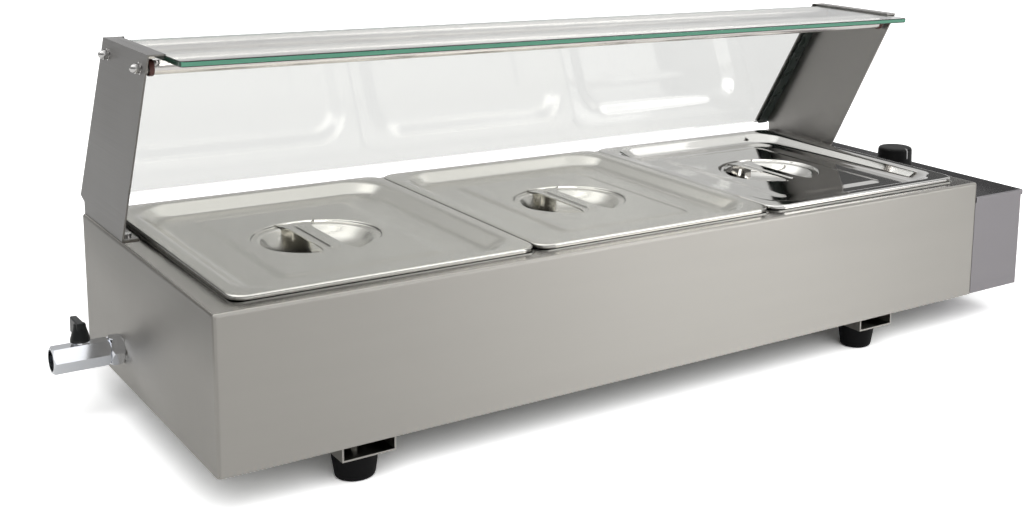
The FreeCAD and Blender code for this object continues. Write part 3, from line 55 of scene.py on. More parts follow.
class Signal:
    """A socket of a material or of the world. Plain arithmetic on it adds Math nodes."""

    def __init__(self, tree, socket):
        self.tree = tree
        self.socket = socket

    def math(self, operation, *terms, swapped=False):
        node = self.tree.nodes.new("ShaderNodeMath")
        node.operation = operation
        terms = (self,) + terms
        if swapped:
            terms = tuple(reversed(terms))
        for index, term in enumerate(terms):
            connect(self.tree, term, node.inputs[index])
        return Signal(self.tree, node.outputs[0])

    def __add__(self, other):
        return self.math("ADD", other)

    def __sub__(self, other):
        return self.math("SUBTRACT", other)

    def __rsub__(self, other):
        return self.math("SUBTRACT", other, swapped=True)

    def __mul__(self, other):
        return self.math("MULTIPLY", other)

    def __gt__(self, other):
        return self.math("GREATER_THAN", other)

    def __lt__(self, other):
        return self.math("LESS_THAN", other)

    def __abs__(self):
        return self.math("ABSOLUTE")

    def between(self, low, high):
        return (self > low) * (self < high)

    __radd__ = __add__
    __rmul__ = __mul__


def connect(tree, value, socket):
    if isinstance(value, Signal):
        tree.links.new(value.socket, socket)
    else:
        socket.default_value = value


class Shading:
    """The nodes of one material or of the world."""

    def __init__(self, owner, kind="Material"):
        self.tree = owner.node_tree
        self.tree.nodes.clear()
        self.output = self.tree.nodes.new("ShaderNodeOutput" + kind)

    def node(self, kind, settings=None, inputs=None, output=0):
        node = self.tree.nodes.new("ShaderNode" + kind)
        for name, value in (settings or {}).items():
            setattr(node, name, value)
        for name, value in (inputs or {}).items():
            connect(self.tree, value, node.inputs[name])
        return Signal(self.tree, node.outputs[output])

    def place(self):
        return self.node("TexCoord", output="Object")

    def noise(self, where, scale, stretch=(1, 1, 1), detail=3):
        stretched = self.node("Mapping", inputs={"Vector": where, "Scale": stretch})
        return self.node("TexNoise", inputs={"Vector": stretched, "Scale": scale, "Detail": detail})

    def blend(self, factor, first, second):
        """A colour between two colours."""
        return self.node("Mix", {"data_type": "RGBA"}, {0: factor, 6: first, 7: second}, 2)

    def ramp(self, value, low, high):
        """Runs smoothly from 0 at the low value to 1 at the high one."""
        return self.node("MapRange", {"interpolation_type": "SMOOTHSTEP"},
                         {"Value": value, "From Min": low, "From Max": high})

    def band(self, value, rise, fall):
        """Runs from 0 to 1 over the rise and back to 0 over the fall, both pairs of values."""
        return self.ramp(value, *rise) * (1 - self.ramp(value, *fall))

    def mottled(self, factor, colour, darkest, palest):
        """A colour between two shades of itself."""
        return self.blend(factor, shade(colour, darkest), shade(colour, palest))

    def axes(self, vector):
        """The three parts of a vector."""
        split = self.node("SeparateXYZ", inputs={"Vector": vector})
        return [Signal(self.tree, socket) for socket in split.socket.node.outputs]

    def paths(self):
        """Signals that are 1 where a ray is seen directly, is seen through glass, is mirrored."""
        path = self.tree.nodes.new("ShaderNodeLightPath").outputs
        mirrored = Signal(self.tree, path["Glossy Depth"]) > 0.5
        through = Signal(self.tree, path["Is Transmission Ray"]) * (1 - mirrored)
        return Signal(self.tree, path["Is Camera Ray"]), through, mirrored

    def bump(self, height, strength, distance):
        return self.node("Bump", inputs={"Height": height, "Strength": strength,
                                         "Distance": distance})

    def surface(self, shader):
        self.tree.links.new(shader.socket, self.output.inputs["Surface"])


def new_material(name):
    material = bpy.data.materials.new(name)
    material.use_nodes = True
    return material, Shading(material)


def rgb(red, green, blue):
    return (red, green, blue, 1)


def shade(colour, factor):
    return tuple(channel * factor for channel in colour[:3]) + (1,)


# Finishes

# Noise has its scale in cells to the metre. A face looks sideways or upwards where that part of its
# normal is more than these.
SIDEWAYS = 0.7
UPWARDS = 0.9
BRUSH_LENGTHWAYS = 6
BRUSH_CROSSWAYS = 1500
BRUSH_TURN = 0.25
LINE_TONE = 0.35
SMEAR_TONE = 0.5
BAND_TONE = 0.4
# Painted shade on faces that look sideways, growing between the two heights
END_PAINTED_SHADE = 0.62
END_PAINTED_SHADE_TONE = 0.45
END_PAINTED_SHADE_HEIGHTS = (100 * MM, 170 * MM)


def brushed_steel(name, colour, roughness, grain=0.05, clouds=0.05, stretch=0.0, top_roughness=0.22):
    """Sheet steel with fine brush lines and faint smears.

    Its top faces have a roughness of their own, and its ends carry painted shade, darker high up.
    """
    material, nodes = new_material(name)
    where = nodes.place()
    height = nodes.axes(where)[2]
    along, _, upward = nodes.axes(nodes.node("NewGeometry", output="Normal"))
    is_end = abs(along) > SIDEWAYS
    is_top = upward > UPWARDS
    along_length = nodes.noise(where, 1, (BRUSH_LENGTHWAYS, BRUSH_CROSSWAYS, BRUSH_CROSSWAYS), 2)
    along_depth = nodes.noise(where, 1, (BRUSH_CROSSWAYS, BRUSH_LENGTHWAYS, BRUSH_CROSSWAYS), 2)
    lines = along_length + is_end * (along_depth - along_length)
    smear = nodes.noise(where, 9, detail=4)
    band = nodes.noise(where, 1, (3, 60, 60))
    tone = (lines - 0.5) * LINE_TONE + (smear - 0.5) * SMEAR_TONE + (band - 0.5) * BAND_TONE + 0.5
    base = nodes.mottled(tone, colour, 1 - clouds, 1 + clouds)
    # Painted shade: ends darker towards the top
    painted_end_shade = is_end * nodes.ramp(height, *END_PAINTED_SHADE_HEIGHTS) * END_PAINTED_SHADE
    base = nodes.blend(painted_end_shade, base, shade(colour, END_PAINTED_SHADE_TONE))
    level = roughness - is_top * (roughness - top_roughness)
    rough = level + (lines - 0.5) * grain * 2 + (smear - 0.5) * grain * 2
    shader = nodes.node("BsdfPrincipled", inputs={
        "Base Color": base, "Metallic": 1.0, "Roughness": rough,
        "Anisotropic": stretch, "Anisotropic Rotation": BRUSH_TURN,
        "Normal": nodes.bump(lines, strength=0.06, distance=0.2 * MM)})
    nodes.surface(shader)
    return material


SCRATCH_LIMIT = 0.68


def polished_metal(name, colour, roughness, haze=0.03, ripple=0.02):
    """Bright metal with faint wiping marks, fine scratches and a slightly uneven face."""
    material, nodes = new_material(name)
    where = nodes.place()
    smear = nodes.noise(where, 30, detail=4)
    scratches = nodes.noise(where, 1, (900, 40, 300), 2) > SCRATCH_LIMIT
    wave = nodes.noise(where, 14, detail=1)
    base = nodes.mottled(smear, colour, darkest=0.96, palest=1.03)
    rough = roughness + smear * haze + scratches * haze
    shader = nodes.node("BsdfPrincipled", inputs={
        "Base Color": base, "Metallic": 1.0, "Roughness": rough,
        "Normal": nodes.bump(wave, ripple, distance=2 * MM)})
    nodes.surface(shader)
    return material


RUBBING = 0.15


def moulded(name, colour, roughness, grain_size=0.6 * MM, grain_depth=0.12, gleam=0.5):
    """Moulded plastic or rubber with a fine grain and rubbed, paler patches."""
    material, nodes = new_material(name)
    where = nodes.place()
    grain = nodes.noise(where, 1 / grain_size, detail=2)
    patches = nodes.noise(where, 60)
    base = nodes.mottled(patches, colour, darkest=0.8, palest=1.25)
    shader = nodes.node("BsdfPrincipled", inputs={
        "Base Color": base, "Roughness": roughness + (patches - 0.5) * RUBBING,
        "Specular IOR Level": gleam, "Normal": nodes.bump(grain, grain_depth, distance=0.2 * MM)})
    nodes.surface(shader)
    return material


FILM_LIMIT = 0.62
FILM_ROUGHNESS = 0.02
EDGE_ROUGHNESS = 0.2
EDGE_GRINDING = 0.1
EDGE_COAT = 0.5
EDGE_END_PAINTED_SHADE = 0.22

# A face is an edge where the square of its normal's upward part, with this share of the square of
# its depthwise part, comes to less than the limit
DEPTHWISE_SHARE = 0.42
EDGE_LIMIT = 0.45


def clear_glass(name, colour, edge_colour):
    """Plate glass with a faint film of dust, and green where its ground edge is seen.

    A broad face looks up or down, or leans back. An edge looks along the glass's width or depth.
    """
    material, nodes = new_material(name)
    where = nodes.place()
    film = nodes.noise(where, 12, (1, 3, 1)) > FILM_LIMIT
    pane = nodes.node("BsdfPrincipled", inputs={
        "Base Color": colour, "Roughness": film * FILM_ROUGHNESS,
        "Transmission Weight": 1.0, "IOR": 1.5})
    along, across, upward = nodes.axes(nodes.node("NewGeometry", output="Normal"))
    grinding = nodes.noise(where, 1, (40, 40, 900))
    tone = nodes.mottled(grinding, edge_colour, darkest=0.8, palest=1.2)
    # Painted shade: the edges that look sideways, at the glass's ends, are darker
    base = nodes.blend(abs(along) > SIDEWAYS, tone, shade(edge_colour, EDGE_END_PAINTED_SHADE))
    edge = nodes.node("BsdfPrincipled", inputs={
        "Base Color": base, "Roughness": EDGE_ROUGHNESS + grinding * EDGE_GRINDING,
        "Coat Weight": EDGE_COAT})
    is_edge = (upward * upward + across * across * DEPTHWISE_SHARE) < EDGE_LIMIT
    nodes.surface(nodes.node("MixShader", inputs={0: is_edge, 1: pane, 2: edge}))
    return material


casing_steel = brushed_steel("casing_steel", rgb(0.485, 0.468, 0.437), 0.46, stretch=0.9)
# The guard brackets are one steel: guard_steel is a darkened copy, as painted shade, and the right
# bracket's paler copy is painted light
guard_steel = brushed_steel("guard_steel", rgb(0.28, 0.271, 0.262), 0.40, stretch=0.6)
guard_steel_right = brushed_steel("guard_steel_right", rgb(0.60, 0.58, 0.56), 0.40, stretch=0.6)
box_steel = brushed_steel("box_steel", rgb(0.33, 0.315, 0.33), 0.40, stretch=0.6, top_roughness=0.10)
rod_steel = brushed_steel("rod_steel", rgb(0.80, 0.77, 0.74), 0.20)
bath_steel = brushed_steel("bath_steel", rgb(0.50, 0.50, 0.48), 0.35)
lid_satin = brushed_steel("lid_satin", rgb(0.66, 0.65, 0.61), 0.22, grain=0.03, clouds=0.03)
lid_polished = polished_metal("lid_polished", rgb(0.72, 0.71, 0.69), 0.05)
bright_plate = polished_metal("bright_plate", rgb(0.66, 0.65, 0.64), 0.16)
tap_chrome = polished_metal("tap_chrome", rgb(0.84, 0.86, 0.90), 0.09)
brass = polished_metal("brass", rgb(0.66, 0.48, 0.24), 0.25)
copper = polished_metal("copper", rgb(0.72, 0.38, 0.24), 0.25)
heater_sheath = brushed_steel("heater_sheath", rgb(0.30, 0.29, 0.27), 0.42)
black_knob = moulded("black_knob", rgb(0.006, 0.006, 0.006), 0.42, gleam=0.14)
black_lever = moulded("black_lever", rgb(0.006, 0.007, 0.007), 0.30, gleam=0.35)
black_rubber = moulded("black_rubber", rgb(0.0035, 0.0035, 0.004), 0.55, grain_size=0.9 * MM,
                       grain_depth=0.25, gleam=0.15)
cap_plastic = moulded("cap_plastic", rgb(0.075, 0.024, 0.018), 0.35)
pointer_paint = moulded("pointer_paint", rgb(0.30, 0.30, 0.30), 0.4)
dark_profile = moulded("dark_profile", rgb(0.030, 0.042, 0.036), 0.28)
black_gland = moulded("black_gland", rgb(0.015, 0.015, 0.015), 0.45)
red_gasket = moulded("red_gasket", rgb(0.28, 0.05, 0.03), 0.5)
white_seat = moulded("white_seat", rgb(0.80, 0.80, 0.78), 0.4)
cream_plastic = moulded("cream_plastic", rgb(0.62, 0.57, 0.48), 0.45)
back_pane = clear_glass("back_pane", rgb(0.89, 0.895, 0.88), rgb(0.07, 0.20, 0.14))
shelf_pane = clear_glass("shelf_pane", rgb(0.975, 0.985, 0.97), rgb(0.065, 0.22, 0.145))

FINISHES = {
    "casing_steel": casing_steel,
    "guard_steel": guard_steel,
    "bath_steel": bath_steel,
    "lid_satin": lid_satin,
    "lid_polished": lid_polished,
    "back_pane": back_pane,
    "shelf_pane": shelf_pane,
    "channel_dark": dark_profile,
    "fasteners": bright_plate,
    "tap_chrome": tap_chrome,
    "seat_plastic": white_seat,
    "lever_plastic": black_lever,
    "knob_plastic": black_knob,
    "foot_rubber": black_rubber,
    "gasket_rubber": red_gasket,
    "heater_sheath": heater_sheath,
    "fitting_brass": brass,
    "sensor_copper": copper,
    "control_plastic": cream_plastic,
    "spindle_metal": bright_plate,
    "gland_plastic": black_gland,
}

OWN_FINISHES = {
    "rod_caps": cap_plastic,
    "guard_bracket_right": guard_steel_right,
    "front_rod": rod_steel,
    "rear_rod": rod_steel,
    "control_box_shell": box_steel,
    "control_box_lid": box_steel,
}

for part in frame["record"]["subparts"]:
    body = frame["nodes"][part["node"]]
    finish = OWN_FINISHES.get(part["node"], FINISHES[part["material_slot"]])
    body.data.materials.clear()
    body.data.materials.append(finish)


# Modelling by hand

def deselect_objects():
    bpy.ops.object.select_all(action="DESELECT")


def edit_selection(chosen, kind="verts"):
    """Selects, in edit mode, the elements that a test on the edit mesh picks out."""
    mesh = bmesh.from_edit_mesh(bpy.context.active_object.data)
    for group in (mesh.verts, mesh.edges, mesh.faces):
        for item in group:
            item.select = False
    for item in getattr(mesh, kind):
        if chosen(item):
            item.select_set(True)
    mesh.select_flush_mode()
    bmesh.update_edit_mesh(bpy.context.active_object.data)


def move(chosen, by):
    edit_selection(chosen)
    bpy.ops.transform.translate(value=by)


def widen(chosen, factors):
    edit_selection(chosen)
    bpy.ops.transform.resize(value=factors, center_override=(0, 0, 0))


def apply_modifier(piece, kind, **settings):
    modifier = piece.modifiers.new(kind.lower(), kind)
    for name, value in settings.items():
        setattr(modifier, name, value)
    bpy.ops.object.modifier_apply(modifier=modifier.name)


def round_edges(piece, width, segments=3, sharpness=40):
    """Rounds the edges whose faces meet at more than an angle in degrees."""
    apply_modifier(piece, "BEVEL", width=width, segments=segments, limit_method="ANGLE",
                   angle_limit=math.radians(sharpness))


def over_middle(low, high, height):
    """A place over the middle of a box."""
    return ((low.x + high.x) / 2, (low.y + high.y) / 2, height)


def finish_piece(piece, finish, body, nodes, crease=35):
    """Closes a piece: smooth faces, its finish, the body it rides on and the nodes it replaces."""
    deselect_objects()
    piece.select_set(True)
    bpy.context.view_layer.objects.active = piece
    bpy.ops.object.shade_smooth_by_angle(angle=math.radians(crease))
    apply_modifier(piece, "WEIGHTED_NORMAL", keep_sharp=True, weight=80)
    bpy.ops.object.transform_apply(location=True, rotation=True, scale=True)
    piece.data.materials.clear()
    piece.data.materials.append(finish)
    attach(piece, body)
    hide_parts(*nodes)
    return piece


CORNER_STEPS = 15
CORNERS = 4
RING = CORNERS * (CORNER_STEPS + 1)
SOFT_STEPS = 5
MERGE_DISTANCE = 0.01 * MM


def softened(profile):
    """Points along a profile whose bends are rounded. Its rows end in the rounding's reach."""
    points = []
    for index, row in enumerate(profile):
        here = Vector(row[:-1])
        if row[-1] == 0:
            points.append(here)
            continue
        before = Vector(profile[index - 1][:-1]) - here
        after = Vector(profile[index + 1][:-1]) - here
        start = here + before * min(0.5, row[-1] / before.to_2d().length)
        end = here + after * min(0.5, row[-1] / after.to_2d().length)
        for step in range(SOFT_STEPS + 1):
            share = step / SOFT_STEPS
            points.append(start.lerp(here, share).lerp(here.lerp(end, share), share))
    return points


def rounded_contour(width, depth, corner, z):
    """A rounded rectangle of edges round the Z axis, in a vertex group of its own."""
    middle = (0, 0, z)
    bpy.ops.mesh.select_all(action="DESELECT")
    bpy.ops.mesh.primitive_plane_add(size=1, location=middle)
    bpy.ops.transform.resize(value=(width, depth, 1), center_override=middle)
    bpy.ops.mesh.bevel(offset=corner, segments=CORNER_STEPS, affect="VERTICES")
    bpy.ops.object.vertex_group_assign_new()
    bpy.ops.mesh.delete(type="ONLY_FACE")


def round_contour(radius, z, sides=RING):
    """A circle of edges round the Z axis, in a vertex group of its own."""
    bpy.ops.mesh.select_all(action="DESELECT")
    bpy.ops.mesh.primitive_circle_add(vertices=sides, radius=radius, location=(0, 0, z))
    bpy.ops.transform.rotate(value=math.pi / sides, orient_axis="Z", center_override=(0, 0, 0))
    bpy.ops.object.vertex_group_assign_new()


def select_contours(piece, *numbers):
    bpy.ops.mesh.select_all(action="DESELECT")
    for number in numbers:
        piece.vertex_groups.active_index = number
        bpy.ops.object.vertex_group_select()


def start_sheet(name):
    """An object in edit mode with nothing in it."""
    deselect_objects()
    bpy.ops.mesh.primitive_plane_add(size=1)
    piece = bpy.context.active_object
    piece.name = name
    bpy.ops.object.mode_set(mode="EDIT")
    bpy.ops.mesh.select_mode(type="VERT")
    bpy.ops.mesh.delete(type="VERT")
    return piece


def close_contours(piece, caps):
    """Bridges each contour to the next, and closes the ones named in caps."""
    last = len(piece.vertex_groups) - 1
    for number in range(last):
        select_contours(piece, number, number + 1)
        bpy.ops.mesh.bridge_edge_loops()
    for number in caps:
        select_contours(piece, last if number < 0 else number)
        bpy.ops.mesh.edge_face_add()
    bpy.ops.mesh.select_all(action="SELECT")
    bpy.ops.mesh.remove_doubles(threshold=MERGE_DISTANCE)
    bpy.ops.mesh.normals_make_consistent(inside=False)
    bpy.ops.object.mode_set(mode="OBJECT")
    piece.vertex_groups.clear()


# Lids, pressed from sheet

LID_CORNER = 16 * MM
RIM_ROUND = 2.6 * MM
RIM_LIFT = 1.2 * MM
BORDER_END = 13 * MM
BORDER_ROUND = 4 * MM
SLOPE_END = 27 * MM
SLOPE_ROUND = 5 * MM
RECESS_DEPTH = 9.5 * MM
RECESS_CORNER = 34 * MM
FLOOR_CORNER = 24 * MM
PANEL = Vector((143 * MM, 210 * MM))
PANEL_CORNER = 8 * MM
PANEL_RISE = 1.2 * MM
PANEL_SHOULDER = 3 * MM
PANEL_ROUND = 2.5 * MM
SMALLEST_CORNER = 2 * MM
STEP_RADIUS = 56 * MM
STEP_DEPTH = 2.4 * MM
DISH_RADIUS = 50 * MM
DISH_DEPTH = 17 * MM
DISH_ROUND = 9 * MM
LID_SHEET = 0.9 * MM

# Shares of the dish's radius and of its depth
WALL_SHARE = 0.8
WALL_DEPTH_SHARE = 0.62
FLOOR_SHARE = 0.45
CENTRE_SHARE = 0.1


def build_lid(side, number, finish):
    """A rim, a border, a slope down to the floor, a raised panel, and a stepped dish in the panel."""
    low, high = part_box("lid_" + side)
    size = (high - low).to_2d()
    rim_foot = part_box("pan_" + side)[1].z + RIM_LIFT - high.z
    floor = -RECESS_DEPTH
    panel = floor + PANEL_RISE
    step = panel - STEP_DEPTH
    bottom = panel - DISH_DEPTH
    piece = start_sheet("pressed_lid_" + side)

    # Half the width, height, half the depth, corner, reach of the rounding
    def inset(distance, height, corner, reach):
        return (size.x / 2 - distance, height, size.y / 2 - distance, corner, reach)

    def panel_edge(distance, height, reach):
        corner = max(PANEL_CORNER + distance, SMALLEST_CORNER)
        return (PANEL.x / 2 + distance, height, PANEL.y / 2 + distance, corner, reach)

    border = [
        inset(0, rim_foot, LID_CORNER, 0),
        inset(0, 0, LID_CORNER, RIM_ROUND),
        inset(BORDER_END, 0, RECESS_CORNER, BORDER_ROUND),
        inset(SLOPE_END, floor, FLOOR_CORNER, SLOPE_ROUND),
        panel_edge(PANEL_SHOULDER, floor, PANEL_ROUND),
        panel_edge(-PANEL_SHOULDER, panel, PANEL_ROUND),
        panel_edge(-3 * PANEL_SHOULDER, panel, 0),
    ]
    for half_width, height, half_depth, corner in softened(border):
        rounded_contour(2 * half_width, 2 * half_depth, corner, height)

    # Radius, height, reach of the rounding
    dish = [
        (STEP_RADIUS + 3 * MM, panel, 0),
        (STEP_RADIUS + 1 * MM, panel, 1.4 * MM),
        (STEP_RADIUS - 0.4 * MM, step, 1.2 * MM),
        (DISH_RADIUS, step, 2.2 * MM),
        (DISH_RADIUS * WALL_SHARE, step - (step - bottom) * WALL_DEPTH_SHARE, DISH_ROUND),
        (DISH_RADIUS * FLOOR_SHARE, bottom, DISH_ROUND),
        (DISH_RADIUS * CENTRE_SHARE, bottom, 0),
    ]
    for radius, height in softened(dish):
        round_contour(radius, height)
    close_contours(piece, [-1])
    if sum(face.normal.z * face.area for face in piece.data.polygons) < 0:
        piece.data.flip_normals()
    apply_modifier(piece, "SOLIDIFY", thickness=LID_SHEET, offset=-1)
    piece.location = over_middle(low, high, high.z)
    return finish_piece(piece, finish, "lid_%d" % number, ["lid_" + side])


STRAP_LENGTH = 111.4 * MM
STRAP_WIDTH = 21 * MM
STRAP_END_WIDTH = 38 * MM
STRAP_FLARE = 24 * MM
STRAP_SHEET = 1.4 * MM
STRAP_ROUND = 0.4 * MM
RIB_HALF = 3.6 * MM
RIB_RISE = 1.1 * MM
STRAP_COLUMNS = 20
STRAP_ROWS = 44


def build_strap(side, number, finish):
    """A flat handle whose ends flare and are cut round, with a rib pressed up along its middle."""
    low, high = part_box("lid_handle_" + side)
    deselect_objects()
    bpy.ops.mesh.primitive_grid_add(x_subdivisions=STRAP_COLUMNS, y_subdivisions=STRAP_ROWS, size=1)
    piece = bpy.context.active_object
    piece.name = "strap_" + side
    piece.scale = (STRAP_WIDTH, STRAP_LENGTH, 1)
    bpy.ops.object.transform_apply(location=False, rotation=False, scale=True)
    bpy.ops.object.mode_set(mode="EDIT")
    bpy.ops.mesh.select_mode(type="VERT")
    half = STRAP_LENGTH / 2
    near_row = STRAP_LENGTH / STRAP_ROWS / 4
    near_column = STRAP_END_WIDTH / STRAP_COLUMNS / 4
    for row in range(STRAP_ROWS + 1):
        along = -half + STRAP_LENGTH * row / STRAP_ROWS
        near_end = max(0, abs(along) - (half - STRAP_FLARE)) / STRAP_FLARE
        factor = 1 + (STRAP_END_WIDTH / STRAP_WIDTH - 1) * near_end ** 2
        if near_end > 0:
            widen(lambda vert: abs(vert.co.y - along) < near_row, (factor, 1, 1))
    for end in (-1, 1):
        for column in range(STRAP_COLUMNS + 1):
            across = STRAP_END_WIDTH * (column / STRAP_COLUMNS - 0.5)
            pull = half - math.sqrt(half ** 2 - across ** 2)
            move(lambda vert: abs(vert.co.y - end * half) < near_row
                 and abs(vert.co.x - across) < near_column,
                 (0, -end * pull, 0))
    move(lambda vert: abs(vert.co.x) < RIB_HALF and abs(vert.co.y) < half - STRAP_FLARE / 2,
         (0, 0, RIB_RISE))
    bpy.ops.object.mode_set(mode="OBJECT")
    apply_modifier(piece, "SOLIDIFY", thickness=STRAP_SHEET, offset=-1)
    round_edges(piece, STRAP_ROUND)
    piece.location = over_middle(low, high, low.z + STRAP_SHEET)
    return finish_piece(piece, finish, "lid_%d" % number, ["lid_handle_" + side])


for number, side in enumerate(("left", "middle", "right"), 1):
    slot = "lid_polished" if side == "right" else "lid_satin"
    lid_finish = FINISHES[slot]
    build_lid(side, number, lid_finish)
    build_strap(side, number, lid_finish)


# Shelf, feet, knob and lever

def build_turned(name, node, finish, body, profile, sides=RING):
    """A piece turned about the upright axis of a node's box.

    Its profile is measured from the box's foot, as rows of radius, height and reach of the rounding.
    """
    low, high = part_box(node)
    piece = start_sheet(name)
    for radius, height in softened(profile):
        round_contour(radius, height, sides)
    close_contours(piece, [0, -1])
    piece.location = over_middle(low, high, low.z)
    return finish_piece(piece, finish, body, [node])


SHELF_ARRIS = 0.7 * MM
SHELF_ROUND = 0.3 * MM
SHELF_CORNER = 5 * MM


def build_shelf():
    """A glass plate with rounded corners and its edges ground off all round."""
    low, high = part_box("shelf_glass")
    half = (high - low) / 2
    sheet = high.z - low.z
    piece = start_sheet("shelf_pane")

    # Half the width, height, half the depth, corner, reach of the rounding
    def contour(inset, height, reach):
        return (half.x - inset, height, half.y - inset, SHELF_CORNER - inset, reach)

    profile = [
        contour(SHELF_ARRIS, 0, 0),
        contour(0, SHELF_ARRIS, SHELF_ROUND),
        contour(0, sheet - SHELF_ARRIS, SHELF_ROUND),
        contour(SHELF_ARRIS, sheet, 0),
    ]
    for half_width, height, half_depth, corner in softened(profile):
        rounded_contour(2 * half_width, 2 * half_depth, corner, height)
    close_contours(piece, [0, -1])
    piece.location = over_middle(low, high, low.z)
    return finish_piece(piece, shelf_pane, "base", ["shelf_glass"], crease=25)


FOOT_TOP = 19.8 * MM
FOOT_SOLE = 16.3 * MM
FOOT_HEIGHT = 26 * MM
FOOT_HOLLOW = 9 * MM
FOOT_HOLLOW_DEPTH = 3 * MM


def build_foot(place):
    """A tapered rubber foot, hollow under its middle."""
    profile = [
        (FOOT_HOLLOW, FOOT_HOLLOW_DEPTH, 0),
        (FOOT_HOLLOW + 0.6 * MM, 0, 0.6 * MM),
        (FOOT_SOLE - 0.4 * MM, 0, 4 * MM),
        (FOOT_SOLE + 0.6 * MM, 5 * MM, 3 * MM),
        (FOOT_TOP, FOOT_HEIGHT - 1.2 * MM, 1 * MM),
        (FOOT_TOP - 0.8 * MM, FOOT_HEIGHT, 0.8 * MM),
        (6 * MM, FOOT_HEIGHT, 0),
    ]
    return build_turned("rubber_foot_" + place, "foot_" + place, black_rubber, "base", profile)


KNOB_SKIRT = 21.5 * MM
KNOB_SKIRT_HEIGHT = 2.2 * MM
KNOB_SIDE = 21.1 * MM
KNOB_TOP = 20.5 * MM
KNOB_HEIGHT = 22 * MM
KNOB_HOLLOW = 15 * MM
KNOB_SIDES = 96


def build_knob():
    """A round knob with a narrow skirt and a softly rounded top, hollow under its middle."""
    profile = [
        (KNOB_HOLLOW, 1.5 * MM, 0),
        (KNOB_HOLLOW + 0.6 * MM, 0, 0.4 * MM),
        (KNOB_SKIRT, 0, 0.5 * MM),
        (KNOB_SKIRT, KNOB_SKIRT_HEIGHT, 0.8 * MM),
        (KNOB_SIDE, KNOB_SKIRT_HEIGHT + 1.4 * MM, 0.8 * MM),
        (KNOB_TOP, KNOB_HEIGHT - 1.4 * MM, 2.8 * MM),
        (KNOB_TOP - 4.5 * MM, KNOB_HEIGHT - 0.2 * MM, 2.5 * MM),
        (2 * MM, KNOB_HEIGHT, 0),
    ]
    return build_turned("dial", "thermostat_knob", black_knob, "knob", profile, KNOB_SIDES)


POINTER_WIDTH = 1.6 * MM
POINTER_SHEET = 1.4 * MM
POINTER_LENGTH = 9 * MM
POINTER_DROP = 8 * MM
POINTER_SLANT = 0.3 * MM
POINTER_SHOULDER = (-1.6 * MM, 0, 3 * MM)
POINTER_OVER_TOP = (-7 * MM, 0, 0.2 * MM)
POINTER_ROUND = 0.25 * MM
POINTER_BEARING = -91

# The part of a face's normal past which it is picked as facing that way
FACING = 0.5


def build_pointer():
    """A raised line down the knob's side and across the edge of its top."""
    low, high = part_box("thermostat_knob")
    deselect_objects()
    bpy.ops.mesh.primitive_cube_add(size=1)
    piece = bpy.context.active_object
    piece.name = "dial_pointer"
    bpy.ops.object.mode_set(mode="EDIT")
    bpy.ops.mesh.select_mode(type="VERT")
    middle = KNOB_HEIGHT - POINTER_DROP
    side_top = middle + POINTER_LENGTH / 2
    bpy.ops.transform.resize(value=(POINTER_SHEET, POINTER_WIDTH, POINTER_LENGTH),
                             center_override=(0, 0, 0))
    bpy.ops.transform.translate(value=(KNOB_TOP, 0, middle))
    move(lambda vert: vert.co.z < middle, (POINTER_SLANT, 0, 0))
    edit_selection(lambda face: face.normal.z > FACING, "faces")
    bpy.ops.mesh.extrude_region_move(TRANSFORM_OT_translate={"value": POINTER_SHOULDER})
    edit_selection(lambda face: face.normal.x < -FACING and face.calc_center_median().z > side_top,
                   "faces")
    bpy.ops.mesh.extrude_region_move(TRANSFORM_OT_translate={"value": POINTER_OVER_TOP})
    bpy.ops.mesh.select_all(action="SELECT")
    bpy.ops.transform.rotate(value=-math.radians(POINTER_BEARING), orient_axis="Z",
                             center_override=(0, 0, 0))
    bpy.ops.object.mode_set(mode="OBJECT")
    round_edges(piece, POINTER_ROUND, segments=2)
    piece.location = over_middle(low, high, low.z)
    return finish_piece(piece, pointer_paint, "knob", ["thermostat_knob"])


HUB_FOOT = 8 * MM
HUB_TOP = 5.4 * MM
HUB_HOLE = 4 * MM
HUB_SIDES = 32
BLADE_HALF = 3.4 * MM
BLADE_TAIL = 5.2 * MM
BLADE_FOOT = 2 * MM
BLADE_ROUND = 1.1 * MM
TIP_LENGTH = 1 * MM
TIP_SLANT = 1.5 * MM
TIP_NARROWING = 0.82


def build_lever():
    """A blade whose tip is narrowed, on a tapered hub about the tap's upright axis."""
    low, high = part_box("valve_handle")
    height = high.z - low.z
    piece = start_sheet("tap_lever")

    # Radius, height, reach of the rounding
    profile = [
        (HUB_HOLE, 0, 0),
        (HUB_FOOT, 0, 0.4 * MM),
        (HUB_FOOT, 2.5 * MM, 1 * MM),
        (HUB_TOP, height - 5 * MM, 2 * MM),
        (HUB_TOP - 0.6 * MM, height - 1.2 * MM, 1 * MM),
        (3 * MM, height - 0.5 * MM, 0),
    ]
    for radius, level in softened(profile):
        round_contour(radius, level, HUB_SIDES)
    close_contours(piece, [0, -1])
    bpy.ops.object.mode_set(mode="EDIT")
    bpy.ops.mesh.select_all(action="DESELECT")
    reach = high.y - low.y - HUB_FOOT
    length = reach + BLADE_TAIL
    middle = Vector((0, (reach - BLADE_TAIL) / 2, height / 2 + BLADE_FOOT / 2))
    bpy.ops.mesh.primitive_cube_add(size=1, location=middle)
    bpy.ops.transform.resize(value=(2 * BLADE_HALF, length, height - BLADE_FOOT),
                             center_override=middle)
    mesh = bmesh.from_edit_mesh(piece.data)
    blade = [vert.index for vert in mesh.verts if vert.select]
    near_tip = reach - TIP_LENGTH
    move(lambda vert: vert.index in blade and vert.co.y > near_tip and vert.co.z < middle.z,
         (0, -TIP_SLANT, TIP_SLANT))
    widen(lambda vert: vert.index in blade and vert.co.y > near_tip, (TIP_NARROWING, 1, 1))
    edit_selection(lambda vert: vert.index in blade)
    bpy.ops.mesh.bevel(offset=BLADE_ROUND, segments=3, affect="EDGES")
    bpy.ops.object.mode_set(mode="OBJECT")
    piece.location = ((low.x + high.x) / 2, low.y + HUB_FOOT, low.z)
    return finish_piece(piece, black_lever, "tap_lever", ["valve_handle"], crease=30)


